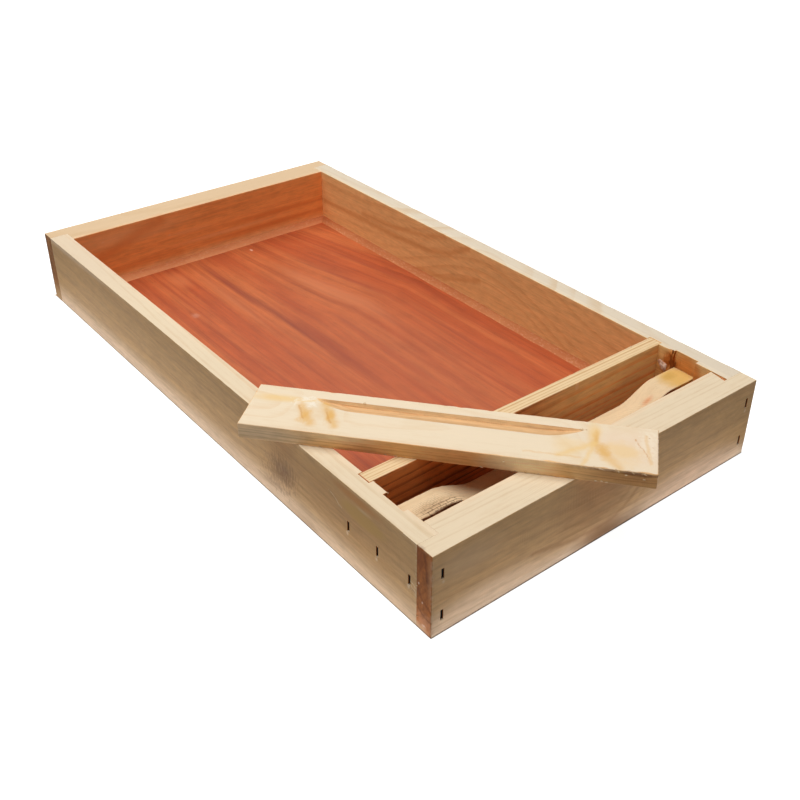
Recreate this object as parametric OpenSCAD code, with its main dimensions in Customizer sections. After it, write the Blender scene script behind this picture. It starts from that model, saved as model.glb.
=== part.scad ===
// Wooden hive top feeder: a shallow syrup tray with a bee passage behind its front board,
// and the loose cover board of that passage laid askew across the front left corner.
// Millimetres. The origin is the centre of the underside, X runs across the tray,
// Y from the front board to the back board, Z up.

/* [Tray] */
// Width over the two side boards
tray_w = 272; // [230:1:420]
// Length over the front and back boards
tray_l = 500; // [400:1:560]
// Height of the boards
tray_h = 58; // [52:1:90]
// Thickness of the side boards
side_t = 14.5; // [12:0.5:20]
// Thickness of the front and back boards
end_t = 25; // [22:0.5:32]
// Thickness of the lips that lap the ends of the side boards
lip_t = 12.5; // [8:0.5:15]
// Open joint between the front board's shoulder and the right side board
shoulder_gap = 1.2; // [0.2:0.1:2]

/* [Floor] */
// Thickness of the plywood floor panel
floor_t = 9; // [6:0.5:10]
// Depth of the rebates that hold the edges of the floor
rebate_d = 7; // [5:0.5:9]
// Play between the edges of the floor and their rebates
floor_play = 0.3; // [0.1:0.1:0.8]
// Leg of the sealing fillet along the edges of the floor
bead_leg = 4.5; // [3:0.5:6]

/* [Partition] */
// Thickness of the partition
partition_t = 10; // [8:0.5:14]
// Height of the syrup slot under the partition
syrup_gap = 3; // [2:0.5:4]
// Length of the foot at each end of the partition, from the side board
foot_l = 14; // [8:1:40]
// Depth of the grooves and housings in the side boards
housing_d = 3; // [2:0.5:5]
// End play of the partition and the weir in their housings
housing_play = 0.2; // [0.1:0.1:0.6]

/* [Bee weir] */
// Thickness of the weir
weir_t = 18; // [15:0.5:22]
// Slot between the front board and the weir, open below, where the bees come up
entrance_gap = 13.2; // [9:0.1:18]
// Slot between the weir and the partition, where the bees drink
feeding_gap = 13.2; // [9:0.1:18]
// Height of the passage between the crest of the weir and the seated cover
bee_space = 9.5; // [6:0.5:14]
// Flat of the weir's ear beside the left side board
ear_left_l = 30; // [12:1:50]
// Flat of the weir's ear beside the right side board
ear_right_l = 20; // [12:1:50]
// Length of the sweep from each ear down to the crest
sweep_l = 33; // [15:1:50]

/* [Cover board] */
// Thickness of the cover board
cover_t = 10; // [8:0.5:14]
// Depth of the seated cover's top face below the rim
cover_sink = 2.5; // [0:0.5:4]
// Play of the cover board in the length and in the width of its seat
cover_play = 0.4; // [0.2:0.1:2]
// Length of the finger pull at the cover's face
pull_l = 164; // [90:1:180]
// Shift of the finger pull towards the left end of the cover
pull_shift = 2; // [0:0.1:10]
// Width of the finger pull at the face
pull_w = 10.3; // [6:0.1:16]
// Depth of the finger pull at its steep wall
pull_d = 3; // [2:0.1:6]
// Distance of the steep wall from the cover's back edge
pull_inset = 8.7; // [6:0.1:14]
// Radius of the cutter that swept the ends of the pull
pull_cutter_r = 118; // [40:1:160]

/* [Cover board as it is laid on the rim] */
// Middle of the cover from the tray's left face
laid_from_left = 71.5; // [50:0.5:100]
// Middle of the cover from the tray's front face
laid_from_front = 73; // [50:0.5:120]
// Turn of the cover about the upright axis, in degrees
laid_turn = -50.1; // [-70:0.1:-20]

/* [Staples] */
// Length of a staple's crown
crown_l = 6.7; // [5:0.1:8]
// Width of the staple wire
wire_w = 1.2; // [0.8:0.1:1.6]
// Thickness of the staple wire
wire_t = 1; // [0.6:0.1:1.4]
// Depth of the crowns below the wood's surface
crown_sunk = 0.4; // [0.2:0.1:1]
// Length of the legs of the staples in the walls
wall_leg_l = 32; // [25:1:38]
// Length of the legs of the staples under the floor
floor_leg_l = 20; // [16:1:25]
// Largest spacing of the staples under the floor
floor_staple_pitch = 90; // [60:5:150]
// Distance of the end staples under the floor from the corners of the reservoir
floor_staple_margin = 16; // [8:1:30]

/* [Hidden] */

$fn = 96;
// How far every cut runs past the face that it opens
overrun = 5;
// Steps along each sweep of the weir's top
sweep_steps = 12;

// Inner faces of the side boards and of the front and back boards
inner_x = tray_w / 2 - side_t;
front_y = end_t - tray_l / 2;
back_y = tray_l / 2 - end_t;
// Ends of the side boards, under the lips
side_end_y = tray_l / 2 - lip_t;
// Faces of the weir and the partition, counted back from the front board
weir_front_y = front_y + entrance_gap;
weir_back_y = weir_front_y + weir_t;
partition_front_y = weir_back_y + feeding_gap;
partition_back_y = partition_front_y + partition_t;
// Half length of the boards that stand in the housings, and reach of the housings
housed_x = inner_x + housing_d - housing_play;
housing_x = inner_x + housing_d;

// Heights of the weir's ears, which carry the seated cover, and of its crest
ear_z = tray_h - cover_sink - cover_t;
crest_z = ear_z - bee_space;

// Edges of the floor panel, inside its rebates
floor_x = inner_x + rebate_d - floor_play;
floor_front_y = weir_back_y - rebate_d + floor_play;
floor_back_y = back_y + rebate_d - floor_play;

// The cover fills its seat between the sides, the front board and the partition
cover_l = 2 * inner_x - cover_play;
cover_w = partition_front_y - front_y - cover_play;

// Heights of the staples' middles on the walls, as shares of the boards' height
side_staple_share = 0.5;
corner_staple_shares = [0.235, 0.74];
// Places of the staples' middles in the boards that they hold
corner_staple_x = tray_w / 2 - side_t / 2;
front_staple_y = (front_y - side_end_y) / 2;
weir_staple_y = weir_front_y + weir_t / 2;
partition_staple_y = partition_front_y + partition_t / 2;

wood = "BurlyWood";
planed = "Wheat";
plywood = "Sienna";
sealant = "Tan";
steel = "DimGray";

// Box between two corners
module block(low, high) {
    translate(low) cube(high - low);
}

// A smooth step from one point to another, level at both ends
function sweep(from, to) = [
    for (i = [0 : sweep_steps])
        let (along = i / sweep_steps, drop = (1 - cos(180 * along)) / 2)
            [from[0] + (to[0] - from[0]) * along, from[1] + (to[1] - from[1]) * drop]
];

// Even places between two ends, no further apart than the pitch of the floor staples
function spaced(from, to) =
    let (count = ceil((to - from) / floor_staple_pitch))
        [for (i = [0 : count]) from + (to - from) * i / count];

// Staple with its crown along X, driven along +Z through a surface at z = 0
module staple(leg_l) {
    legs_x = crown_l / 2 - wire_t;
    difference() {
        block([-crown_l / 2, -wire_w / 2, crown_sunk], [crown_l / 2, wire_w / 2, leg_l]);
        block([-legs_x, -wire_w, crown_sunk + wire_t], [legs_x, wire_w, leg_l + overrun]);
    }
}

// The wood that a staple pushes aside, with the dent over its sunk crown
module staple_cut(leg_l) {
    staple(leg_l);
    block([-crown_l / 2, -wire_w / 2, -overrun], [crown_l / 2, wire_w / 2, crown_sunk]);
}

// An upright place in one side face: hand is -1 on the left, 1 on the right
module in_side(hand, y) {
    translate([hand * tray_w / 2, y, tray_h * side_staple_share])
        rotate([0, -hand * 90, 0])
            children();
}

// The same place in both side faces
module in_both_sides(y) {
    for (hand = [-1, 1])
        in_side(hand, y) children();
}

// The upright places in the lips of one end board: end is -1 at the front, 1 at the back
module in_corners(end) {
    for (hand = [-1, 1], share = corner_staple_shares)
        translate([hand * corner_staple_x, end * tray_l / 2, tray_h * share])
            rotate([end * 90, 90, 0])
                children();
}

// The places under the edges of the floor, in the middle of the rebates
module under_floor() {
    side_x = inner_x + rebate_d / 2;
    for (hand = [-1, 1], y = spaced(partition_back_y + floor_staple_margin, back_y - floor_staple_margin))
        translate([hand * side_x, y, 0]) rotate(90) children();
    cross_x = inner_x - floor_staple_margin;
    for (x = spaced(-cross_x, cross_x), y = [back_y + rebate_d / 2, weir_back_y - rebate_d / 2])
        translate([x, y, 0]) children();
}

// The rebates around the floor
module floor_seat() {
    block(
        [-inner_x - rebate_d, weir_back_y - rebate_d, -overrun],
        [inner_x + rebate_d, back_y + rebate_d, floor_t]
    );
}

// Board across one end with a lip at both ends: end is -1 at the front, 1 at the back
module end_board(end, right_gap) {
    outer_y = end * tray_l / 2;
    lap_y = end * side_end_y;
    inner_y = outer_y - end * end_t;
    block([-tray_w / 2, min(outer_y, lap_y), 0], [tray_w / 2, max(outer_y, lap_y), tray_h]);
    block([-inner_x, min(inner_y, lap_y), 0], [inner_x - right_gap, max(inner_y, lap_y), tray_h]);
}

module front_board() {
    color(wood) difference() {
        end_board(-1, shoulder_gap);
        in_corners(-1) staple_cut(wall_leg_l);
        in_both_sides(front_staple_y) staple_cut(wall_leg_l);
    }
}

module back_board() {
    color(wood) difference() {
        end_board(1, 0);
        floor_seat();
        in_corners(1) staple_cut(wall_leg_l);
        under_floor() staple_cut(floor_leg_l);
    }
}

// Side board between the lips: hand is -1 on the left, 1 on the right
module side_board(hand) {
    outer_x = hand * tray_w / 2;
    face_x = hand * inner_x;
    difference() {
        block([min(outer_x, face_x), -side_end_y, 0], [max(outer_x, face_x), side_end_y, tray_h]);
        floor_seat();
        block([-housing_x, partition_front_y, floor_t], [housing_x, partition_back_y, tray_h + overrun]);
        block([-housing_x, weir_front_y, -overrun], [housing_x, weir_back_y, tray_h + overrun]);
        for (end = [-1, 1])
            in_corners(end) staple_cut(wall_leg_l);
        for (y = [front_staple_y, weir_staple_y, partition_staple_y])
            in_side(hand, y) staple_cut(wall_leg_l);
        under_floor() staple_cut(floor_leg_l);
    }
}

module left_side() {
    color(wood) side_board(-1);
}

module right_side() {
    color(wood) side_board(1);
}

module floor_panel() {
    color(plywood) difference() {
        block([-floor_x, floor_front_y, 0], [floor_x, floor_back_y, floor_t]);
        under_floor() staple_cut(floor_leg_l);
    }
}

// Stands on the floor on two feet, so that the syrup runs under it
module partition() {
    slot_x = inner_x - foot_l;
    color(planed) difference() {
        block([-housed_x, partition_front_y, floor_t], [housed_x, partition_back_y, tray_h]);
        block(
            [-slot_x, partition_front_y - overrun, floor_t - overrun],
            [slot_x, partition_back_y + overrun, floor_t + syrup_gap]
        );
        in_both_sides(partition_staple_y) staple_cut(wall_leg_l);
    }
}

// Its ears carry the cover, and its dished top leaves the passage for the bees
module bee_weir() {
    left_ear_x = ear_left_l - inner_x;
    right_ear_x = inner_x - ear_right_l;
    outline = concat(
        [[-housed_x, 0], [housed_x, 0], [housed_x, ear_z]],
        sweep([right_ear_x, ear_z], [right_ear_x - sweep_l, crest_z]),
        sweep([left_ear_x + sweep_l, crest_z], [left_ear_x, ear_z]),
        [[-housed_x, ear_z]]
    );
    color(wood) difference() {
        translate([0, weir_back_y, 0])
            rotate([90, 0, 0])
                linear_extrude(weir_t)
                    polygon(outline);
        floor_seat();
        in_both_sides(weir_staple_y) staple_cut(wall_leg_l);
        under_floor() staple_cut(floor_leg_l);
    }
}

// The finger pull: a steep back wall, a floor that slopes up to the face, and ends swept by the cutter
module finger_pull() {
    wall_y = cover_w / 2 - pull_inset;
    end_sweep = sqrt(pull_cutter_r ^ 2 - (pull_cutter_r - pull_d) ^ 2);
    run = pull_l / 2 - end_sweep;
    translate([-pull_shift, 0, cover_t]) {
        translate([-run, 0, 0])
            rotate([90, 0, 90])
                linear_extrude(2 * run)
                    polygon([
                        [wall_y, overrun], [wall_y, -pull_d], [wall_y - pull_w, 0], [wall_y - pull_w, overrun]
                    ]);
        for (hand = [-1, 1])
            translate([hand * run, wall_y, pull_cutter_r - pull_d])
                rotate([90, 0, 0])
                    cylinder(r1 = pull_cutter_r, r2 = pull_cutter_r - pull_d, h = pull_w);
    }
}

// Laid flat on the rim, across the left side board, the partition and the front board
module cover_board() {
    color(planed)
        translate([laid_from_left - tray_w / 2, laid_from_front - tray_l / 2, tray_h])
            rotate(laid_turn)
                difference() {
                    block([-cover_l / 2, -cover_w / 2, 0], [cover_l / 2, cover_w / 2, cover_t]);
                    finger_pull();
                }
}

// Sealing fillet along a wall that runs across the tray: facing is the way that the wall faces
module cross_bead(wall_y, facing) {
    translate([-inner_x, wall_y, floor_t])
        rotate([90, 0, 90])
            linear_extrude(2 * inner_x)
                polygon([[0, 0], [facing * bead_leg, 0], [0, bead_leg]]);
}

// Sealing fillet along one side board: hand is -1 on the left, 1 on the right
module side_bead(hand, from_y, to_y) {
    translate([hand * inner_x, to_y, floor_t])
        rotate([90, 0, 0])
            linear_extrude(to_y - from_y)
                polygon([[0, 0], [-hand * bead_leg, 0], [0, bead_leg]]);
}

module seal_bead_back() {
    color(sealant) cross_bead(back_y, -1);
}

module seal_bead_left() {
    color(sealant) difference() {
        side_bead(-1, partition_back_y, back_y);
        cross_bead(back_y, -1);
    }
}

module seal_bead_right() {
    color(sealant) difference() {
        side_bead(1, partition_back_y, back_y);
        cross_bead(back_y, -1);
    }
}

// Along the foot of the weir, and along the sides as far as the partition
module seal_bead_weir() {
    color(sealant) {
        cross_bead(weir_back_y, 1);
        for (hand = [-1, 1])
            side_bead(hand, weir_back_y, partition_front_y);
    }
}

module front_corner_staples() {
    color(steel) in_corners(-1) staple(wall_leg_l);
}

module back_corner_staples() {
    color(steel) in_corners(1) staple(wall_leg_l);
}

module front_board_staples() {
    color(steel) in_both_sides(front_staple_y) staple(wall_leg_l);
}

module partition_staples() {
    color(steel) in_both_sides(partition_staple_y) staple(wall_leg_l);
}

module weir_staples() {
    color(steel) in_both_sides(weir_staple_y) staple(wall_leg_l);
}

module floor_staples() {
    color(steel) under_floor() staple(floor_leg_l);
}

front_board();
back_board();
left_side();
right_side();
floor_panel();
partition();
bee_weir();
cover_board();
seal_bead_back();
seal_bead_left();
seal_bead_right();
seal_bead_weir();
front_corner_staples();
back_corner_staples();
front_board_staples();
partition_staples();
weir_staples();
floor_staples();
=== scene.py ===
"""Looks of the wooden hive top feeder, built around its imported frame.

Boards are modelled with their rebates, grooves and broken arrises, staples as bent wire in their slits,
and the sealant as a hand-drawn fillet. Each board has its own cut of pine, set by where its pith lies.
"""
import math

import bmesh
import bpy
import numpy as np
from mathutils import Matrix, Vector, noise


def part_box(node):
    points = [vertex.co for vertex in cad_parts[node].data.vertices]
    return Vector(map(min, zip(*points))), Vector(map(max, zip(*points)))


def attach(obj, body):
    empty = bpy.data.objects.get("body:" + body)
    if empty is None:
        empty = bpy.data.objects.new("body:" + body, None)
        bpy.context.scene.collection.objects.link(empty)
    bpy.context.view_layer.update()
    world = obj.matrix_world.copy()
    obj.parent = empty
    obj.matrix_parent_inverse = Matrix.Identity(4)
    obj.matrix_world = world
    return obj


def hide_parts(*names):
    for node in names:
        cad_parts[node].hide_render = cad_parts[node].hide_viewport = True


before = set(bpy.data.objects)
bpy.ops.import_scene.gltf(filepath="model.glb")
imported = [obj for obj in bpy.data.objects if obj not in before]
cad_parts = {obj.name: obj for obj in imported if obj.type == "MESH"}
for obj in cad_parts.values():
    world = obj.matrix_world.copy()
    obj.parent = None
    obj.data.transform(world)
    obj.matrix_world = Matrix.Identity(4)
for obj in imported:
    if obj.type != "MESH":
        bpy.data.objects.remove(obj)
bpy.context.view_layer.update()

MM = 0.001
UP = Vector((0, 0, 1))


def mm(*values):
    """A point or size in millimetres, as metres."""
    return Vector(values) * MM


def srgb(red, green, blue):
    """A colour as a screen shows it, 0 to 255, as the linear colour that a socket takes."""
    def linear(value):
        share = value / 255
        return share / 12.92 if share <= 0.04045 else ((share + 0.055) / 1.055) ** 2.4
    return linear(red), linear(green), linear(blue), 1.0


# Camera, at the photograph's place

def set_camera():
    """The camera fitted to the tray's corners: its turn, its place, and its lens in the picture's pixels."""
    picture, focal, middle_x, middle_y = 800, 1048.54, 417.015, 372.51
    turn, tilt, roll = (math.radians(v) for v in (-39.131, 31.974, 0.499))
    back = Vector((math.sin(turn) * math.cos(tilt), -math.cos(turn) * math.cos(tilt), math.sin(tilt)))
    right = (-back).cross(UP).normalized()
    up = right.cross(-back)
    across = right * math.cos(roll) + up * math.sin(roll)
    upright = up * math.cos(roll) - right * math.sin(roll)
    place = Matrix((across, upright, back)).transposed().to_4x4()
    place.translation = Vector((-0.395894, -0.555731, 0.418983))
    camera = bpy.data.cameras.new("studio_camera")
    camera.sensor_width = 36
    camera.lens = focal / picture * camera.sensor_width
    camera.shift_x = (picture / 2 - middle_x) / picture
    camera.shift_y = (middle_y - picture / 2) / picture
    holder = bpy.data.objects.new("studio_camera", camera)
    holder.matrix_world = place
    bpy.context.scene.collection.objects.link(holder)
    bpy.context.scene.camera = holder


# Nodes

class Bench:
    """Puts nodes into one tree and links them."""

    def __init__(self, tree):
        self.tree = tree

    def put(self, kind, sockets=None, **settings):
        made = self.tree.nodes.new(kind)
        for key, value in settings.items():
            setattr(made, key, value)
        for key, value in (sockets or {}).items():
            self.feed(made.inputs[key], value)
        return made

    def feed(self, socket, value):
        if isinstance(value, bpy.types.NodeSocket):
            self.tree.links.new(value, socket)
        else:
            socket.default_value = value

    def math(self, operation, *values, clamp=False):
        made = self.put("ShaderNodeMath", dict(enumerate(values)), operation=operation, use_clamp=clamp)
        return made.outputs[0]

    def sway(self, value, amount, base):
        """The base, raised or lowered by how far a value from 0 to 1 lies from its middle."""
        return self.math("MULTIPLY_ADD", self.math("SUBTRACT", value, 0.5), amount, base)

    def vector(self, operation, *values):
        made = self.put("ShaderNodeVectorMath", dict(enumerate(values)), operation=operation)
        return made.outputs[1 if operation in ("LENGTH", "DOT_PRODUCT", "DISTANCE") else 0]

    def scale(self, vector, amount):
        return self.put("ShaderNodeVectorMath", {0: vector, "Scale": amount}, operation="SCALE").outputs[0]

    def mix(self, share, first, second):
        made = self.put("ShaderNodeMix", data_type="RGBA")
        for index, value in ((0, share), (6, first), (7, second)):
            self.feed(made.inputs[index], value)
        return made.outputs[2]

    def ramp(self, value, start, end, low=0.0, high=1.0):
        sockets = {"Value": value, "From Min": start, "From Max": end, "To Min": low, "To Max": high}
        return self.put("ShaderNodeMapRange", sockets, interpolation_type="SMOOTHSTEP").outputs[0]

    def noise(self, place, stretch, detail, roughness, seed, output="Fac"):
        """Noise whose waves are one metre long, shortened by the stretch along each axis."""
        start = seed if isinstance(seed, bpy.types.NodeSocket) else (seed, seed, seed)
        place = self.put("ShaderNodeVectorMath", {0: place, 1: stretch, 2: start}, operation="MULTIPLY_ADD")
        sockets = {"Vector": place.outputs[0], "Scale": 1.0, "Detail": detail, "Roughness": roughness}
        return self.put("ShaderNodeTexNoise", sockets, noise_dimensions="3D").outputs[output]

    def wander(self, *noise):
        """Three noises at once, each about zero, to bend a place with."""
        return self.vector("SUBTRACT", self.noise(*noise, output="Color"), (0.5, 0.5, 0.5))

    def parts(self, vector):
        return self.put("ShaderNodeSeparateXYZ", {0: vector}).outputs

    def dress(self, finish, colour, roughness, height, strength, distance, shine=0.5):
        """Gives a shader its colour, roughness, relief in millimetres and shine."""
        relief = {"Strength": strength, "Distance": distance * MM, "Height": height}
        normal = self.put("ShaderNodeBump", relief).outputs[0]
        for label, value in (("Base Color", colour), ("Roughness", roughness), ("Normal", normal),
                             ("Specular IOR Level", shine)):
            self.feed(finish[label], value)

    def seen(self):
        """1 for the rays that show a surface itself: straight on, mirrored or through glass."""
        path = self.put("ShaderNodeLightPath").outputs
        shown = self.math("MAXIMUM", path["Is Camera Ray"], path["Is Glossy Ray"])
        return self.math("MAXIMUM", shown, path["Is Transmission Ray"])

    def group(self, tree, sockets):
        made = self.tree.nodes.new("ShaderNodeGroup")
        made.node_tree = tree
        for key, value in sockets.items():
            self.feed(made.inputs[key], value)
        return made.outputs


KINDS = {"value": "NodeSocketFloat", "vector": "NodeSocketVector", "colour": "NodeSocketColor"}


def new_group(name, takes, gives):
    """An empty node group with named sockets, as its bench, its inputs and its output node."""
    tree = bpy.data.node_groups.new(name, "ShaderNodeTree")
    for way, sockets in (("INPUT", takes), ("OUTPUT", gives)):
        for label, kind in sockets.items():
            tree.interface.new_socket(name=label, in_out=way, socket_type=KINDS[kind])
    bench = Bench(tree)
    return bench, bench.put("NodeGroupInput").outputs, bench.put("NodeGroupOutput").inputs


def make_pine_grain():
    """Growth rings round a pith, fine fibres and end grain, in a board whose grain runs along its own X."""
    bench, taken, given = new_group("pine_grain", {
        "Position": "vector", "Normal": "vector", "Pith": "vector", "Lean": "vector", "Ring Width": "value",
        "Sway": "value", "Swell": "value", "Seed": "value", "Earlywood": "colour", "Latewood": "colour",
        "Line Strength": "value", "Cloud": "value", "Mottle": "value", "End Colour": "colour",
    }, {"Color": "colour", "Roughness": "value", "Height": "value", "Late": "value", "Shade": "value"})
    seed = taken["Seed"]
    place = bench.vector("SUBTRACT", taken["Position"], taken["Pith"])
    along, across, upright = bench.parts(place)
    lean = bench.parts(taken["Lean"])
    drift = bench.wander(place, (2.0, 7.0, 7.0), 1.5, 0.5, seed)
    drift = bench.parts(bench.scale(drift, taken["Sway"]))
    leant_y = bench.math("ADD", bench.math("MULTIPLY_ADD", lean[1], along, across), drift[1])
    leant_z = bench.math("ADD", bench.math("MULTIPLY_ADD", lean[2], along, upright), drift[2])
    squares = bench.math("ADD", bench.math("POWER", leant_y, 2.0), bench.math("POWER", leant_z, 2.0))
    radius = bench.math("ADD", bench.math("SQRT", squares), taken["Swell"])
    ripple = bench.noise(place, (16, 70, 70), 2, 0.5, seed)
    ripple = bench.math("MULTIPLY", bench.math("SUBTRACT", ripple, 0.5), 0.35)
    ring = bench.math("ADD", bench.math("DIVIDE", radius, taken["Ring Width"]), ripple)
    sockets = {"W": bench.math("ADD", ring, seed), "Scale": 0.37, "Detail": 1.0}
    uneven = bench.put("ShaderNodeTexNoise", sockets, noise_dimensions="1D").outputs["Fac"]
    ring = bench.sway(uneven, 1.7, ring)
    year = bench.math("FRACT", ring)
    count = bench.math("ADD", bench.math("FLOOR", ring), seed)
    strength = bench.put("ShaderNodeTexWhiteNoise", {"W": count}, noise_dimensions="1D").outputs["Value"]
    strength = bench.math("MULTIPLY_ADD", strength, 0.65, 0.35)
    late = bench.math("MULTIPLY", bench.ramp(year, 0.42, 0.9), bench.ramp(year, 1.0, 0.91))
    late = bench.math("MULTIPLY", late, strength)
    share = bench.math("MULTIPLY", late, taken["Line Strength"])
    colour = bench.mix(share, taken["Earlywood"], taken["Latewood"])
    clouds = (3.5, 17, 17), 2, 0.5, taken["Cloud"]
    mottles = (30, 95, 95), 3, 0.6, taken["Mottle"]
    streaks = (7, 210, 210), 2, 0.55, 0.24
    flecks = (110, 420, 420), 2, 0.6, 0.44
    shade = 1.0
    for stretch, detail, roughness, amount in (clouds, mottles, streaks, flecks):
        shade = bench.sway(bench.noise(place, stretch, detail, roughness, seed), amount, shade)
    fibre = bench.noise(place, (22, 1000, 1000), 3, 0.6, seed)
    shade = bench.sway(fibre, 0.44, shade)
    colour = bench.scale(colour, shade)
    facing = bench.math("ABSOLUTE", bench.parts(taken["Normal"])[0])
    end = bench.ramp(facing, 0.55, 0.85)
    pores = bench.noise(place, (400, 520, 420), 3, 0.7, seed)
    torn = bench.noise(place, (60, 170, 60), 3, 0.65, seed)
    dark = bench.sway(torn, 1.8, bench.sway(pores, 1.15, 1.12))
    dark = bench.math("MULTIPLY_ADD", bench.ramp(year, 0.2, 0.95), -0.14, dark)
    end_colour = bench.scale(taken["End Colour"], dark)
    bench.feed(given["Color"], bench.mix(end, colour, end_colour))
    rough = bench.math("MULTIPLY_ADD", fibre, 0.18, 0.52)
    bench.feed(given["Roughness"], bench.math("MULTIPLY_ADD", end, 0.15, rough))
    height = bench.math("MULTIPLY_ADD", late, 0.06, bench.math("MULTIPLY", fibre, 0.5))
    bench.feed(given["Height"], bench.math("MULTIPLY_ADD", end, bench.math("MULTIPLY", torn, 1.5), height))
    bench.feed(given["Late"], late)
    bench.feed(given["Shade"], shade)
    return bench.tree


def make_knot():
    """A branch that crosses the board and swells the rings around it."""
    bench, taken, given = new_group("knot", {
        "Position": "vector", "Centre": "vector", "Squeeze": "vector", "Radius": "value", "Rise": "value",
        "Reach": "value", "Seed": "value",
    }, {"Swell": "value"})
    place = bench.vector("SUBTRACT", taken["Position"], taken["Centre"])
    gap = bench.vector("LENGTH", bench.vector("MULTIPLY", place, taken["Squeeze"]))
    wobble = bench.noise(place, (160, 160, 160), 2, 0.5, taken["Seed"])
    wobble = bench.math("MULTIPLY", bench.math("SUBTRACT", wobble, 0.5), taken["Radius"])
    gap = bench.math("ADD", gap, wobble)
    share = bench.math("POWER", bench.math("DIVIDE", gap, taken["Reach"]), 2.0)
    fall = bench.math("EXPONENT", bench.math("MULTIPLY", share, -1.0))
    bench.feed(given["Swell"], bench.math("MULTIPLY", fall, taken["Rise"]))
    return bench.tree


def make_patch():
    """A soft or ragged spot on a surface, as a mask."""
    bench, taken, given = new_group("patch", {
        "Position": "vector", "Centre": "vector", "Size": "vector", "Soft": "value", "Ragged": "value",
        "Stretch": "vector", "Seed": "value",
    }, {"Mask": "value"})
    place = bench.vector("SUBTRACT", taken["Position"], taken["Centre"])
    gap = bench.vector("LENGTH", bench.vector("DIVIDE", place, taken["Size"]))
    tear = bench.noise(taken["Position"], taken["Stretch"], 3, 0.6, taken["Seed"])
    gap = bench.sway(tear, taken["Ragged"], gap)
    inner = bench.math("SUBTRACT", 1.0, taken["Soft"])
    bench.feed(given["Mask"], bench.ramp(gap, 1.0, inner))
    return bench.tree


def make_scratch():
    """A thin line between two points of a surface, as a mask."""
    bench, taken, given = new_group("scratch", {
        "Position": "vector", "From": "vector", "To": "vector", "Width": "value", "Seed": "value",
    }, {"Mask": "value"})
    bend = bench.wander(taken["Position"], (220, 220, 220), 2, 0.5, taken["Seed"])
    bend = bench.scale(bend, 3 * MM)
    place = bench.vector("SUBTRACT", bench.vector("ADD", taken["Position"], bend), taken["From"])
    whole = bench.vector("SUBTRACT", taken["To"], taken["From"])
    square = bench.vector("DOT_PRODUCT", whole, whole)
    share = bench.math("DIVIDE", bench.vector("DOT_PRODUCT", place, whole), square, clamp=True)
    gap = bench.vector("LENGTH", bench.vector("SUBTRACT", place, bench.scale(whole, share)))
    bench.feed(given["Mask"], bench.ramp(gap, taken["Width"], 0.0))
    return bench.tree


def make_worn_arris():
    """Where an arris is rubbed, from the mesh's own measure of how near it is, broken up by noise."""
    bench, taken, given = new_group("worn_arris", {"Position": "vector", "Seed": "value"}, {"Mask": "value"})
    near = bench.put("ShaderNodeAttribute", attribute_name="arris").outputs["Fac"]
    broken = bench.noise(taken["Position"], (130, 400, 400), 3, 0.6, taken["Seed"])
    bench.feed(given["Mask"], bench.math("MULTIPLY", near, bench.ramp(broken, 0.4, 0.62)))
    return bench.tree


def make_machine_marks():
    """Fine ridges that a planer or a band saw leaves across a board, uneven in depth."""
    bench, taken, given = new_group("machine_marks", {
        "Position": "vector", "Pitch": "value", "Slant": "value", "Seed": "value",
    }, {"Height": "value"})
    along, across, upright = bench.parts(taken["Position"])
    side = bench.math("ADD", across, upright)
    line = bench.math("MULTIPLY_ADD", side, taken["Slant"], along)
    waver = bench.noise(taken["Position"], (30, 60, 60), 2, 0.5, taken["Seed"])
    line = bench.math("MULTIPLY_ADD", waver, 1.2 * MM, line)
    turn = bench.math("DIVIDE", bench.math("MULTIPLY", line, 2 * math.pi), taken["Pitch"])
    wave = bench.math("SINE", turn)
    depth = bench.noise(taken["Position"], (28, 40, 40), 2, 0.6, taken["Seed"])
    skip = bench.ramp(depth, 0.42, 0.68)
    bench.feed(given["Height"], bench.math("MULTIPLY", wave, skip))
    return bench.tree


def make_veneer():
    """Sliced hardwood veneer: dark streaks, ribbons and short pores along X."""
    bench, taken, given = new_group("veneer", {
        "Position": "vector", "Seed": "value", "Pale": "colour", "Middle": "colour", "Dark": "colour",
    }, {"Color": "colour", "Roughness": "value", "Height": "value"})
    seed = taken["Seed"]
    place = taken["Position"]
    bent = bench.wander(place, (3.0, 8.0, 8.0), 2, 0.5, seed)
    place = bench.vector("ADD", place, bench.vector("MULTIPLY", bent, (0.0, 0.009, 0.0)))
    ribbon = bench.noise(place, (2.4, 42, 4), 3, 0.6, seed)
    streak = bench.noise(place, (4.5, 130, 4), 4, 0.65, seed)
    fine = bench.noise(place, (14, 520, 20), 3, 0.65, seed)
    mottle = bench.noise(place, (45, 110, 20), 3, 0.6, seed)
    pores = bench.noise(place, (110, 1900, 40), 2, 0.5, seed)
    colour = bench.mix(bench.ramp(ribbon, 0.36, 0.62), taken["Pale"], taken["Middle"])
    line = bench.ramp(streak, 0.46, 0.66)
    colour = bench.mix(bench.math("MULTIPLY", line, 0.38), colour, taken["Dark"])
    shade = bench.sway(fine, 0.6, 1.0)
    shade = bench.sway(mottle, 0.4, shade)
    pore = bench.ramp(pores, 0.6, 0.7)
    shade = bench.math("MULTIPLY_ADD", pore, -0.16, shade)
    bench.feed(given["Color"], bench.scale(colour, shade))
    bench.feed(given["Roughness"], bench.math("MULTIPLY_ADD", fine, 0.2, 0.42))
    height = bench.math("MULTIPLY_ADD", pore, -0.8, bench.math("MULTIPLY", fine, 0.6))
    bench.feed(given["Height"], height)
    return bench.tree


PINE_GRAIN = make_pine_grain()
KNOT = make_knot()
PATCH = make_patch()
SCRATCH = make_scratch()
WORN_ARRIS = make_worn_arris()
MACHINE_MARKS = make_machine_marks()
VENEER = make_veneer()


# Materials

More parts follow.
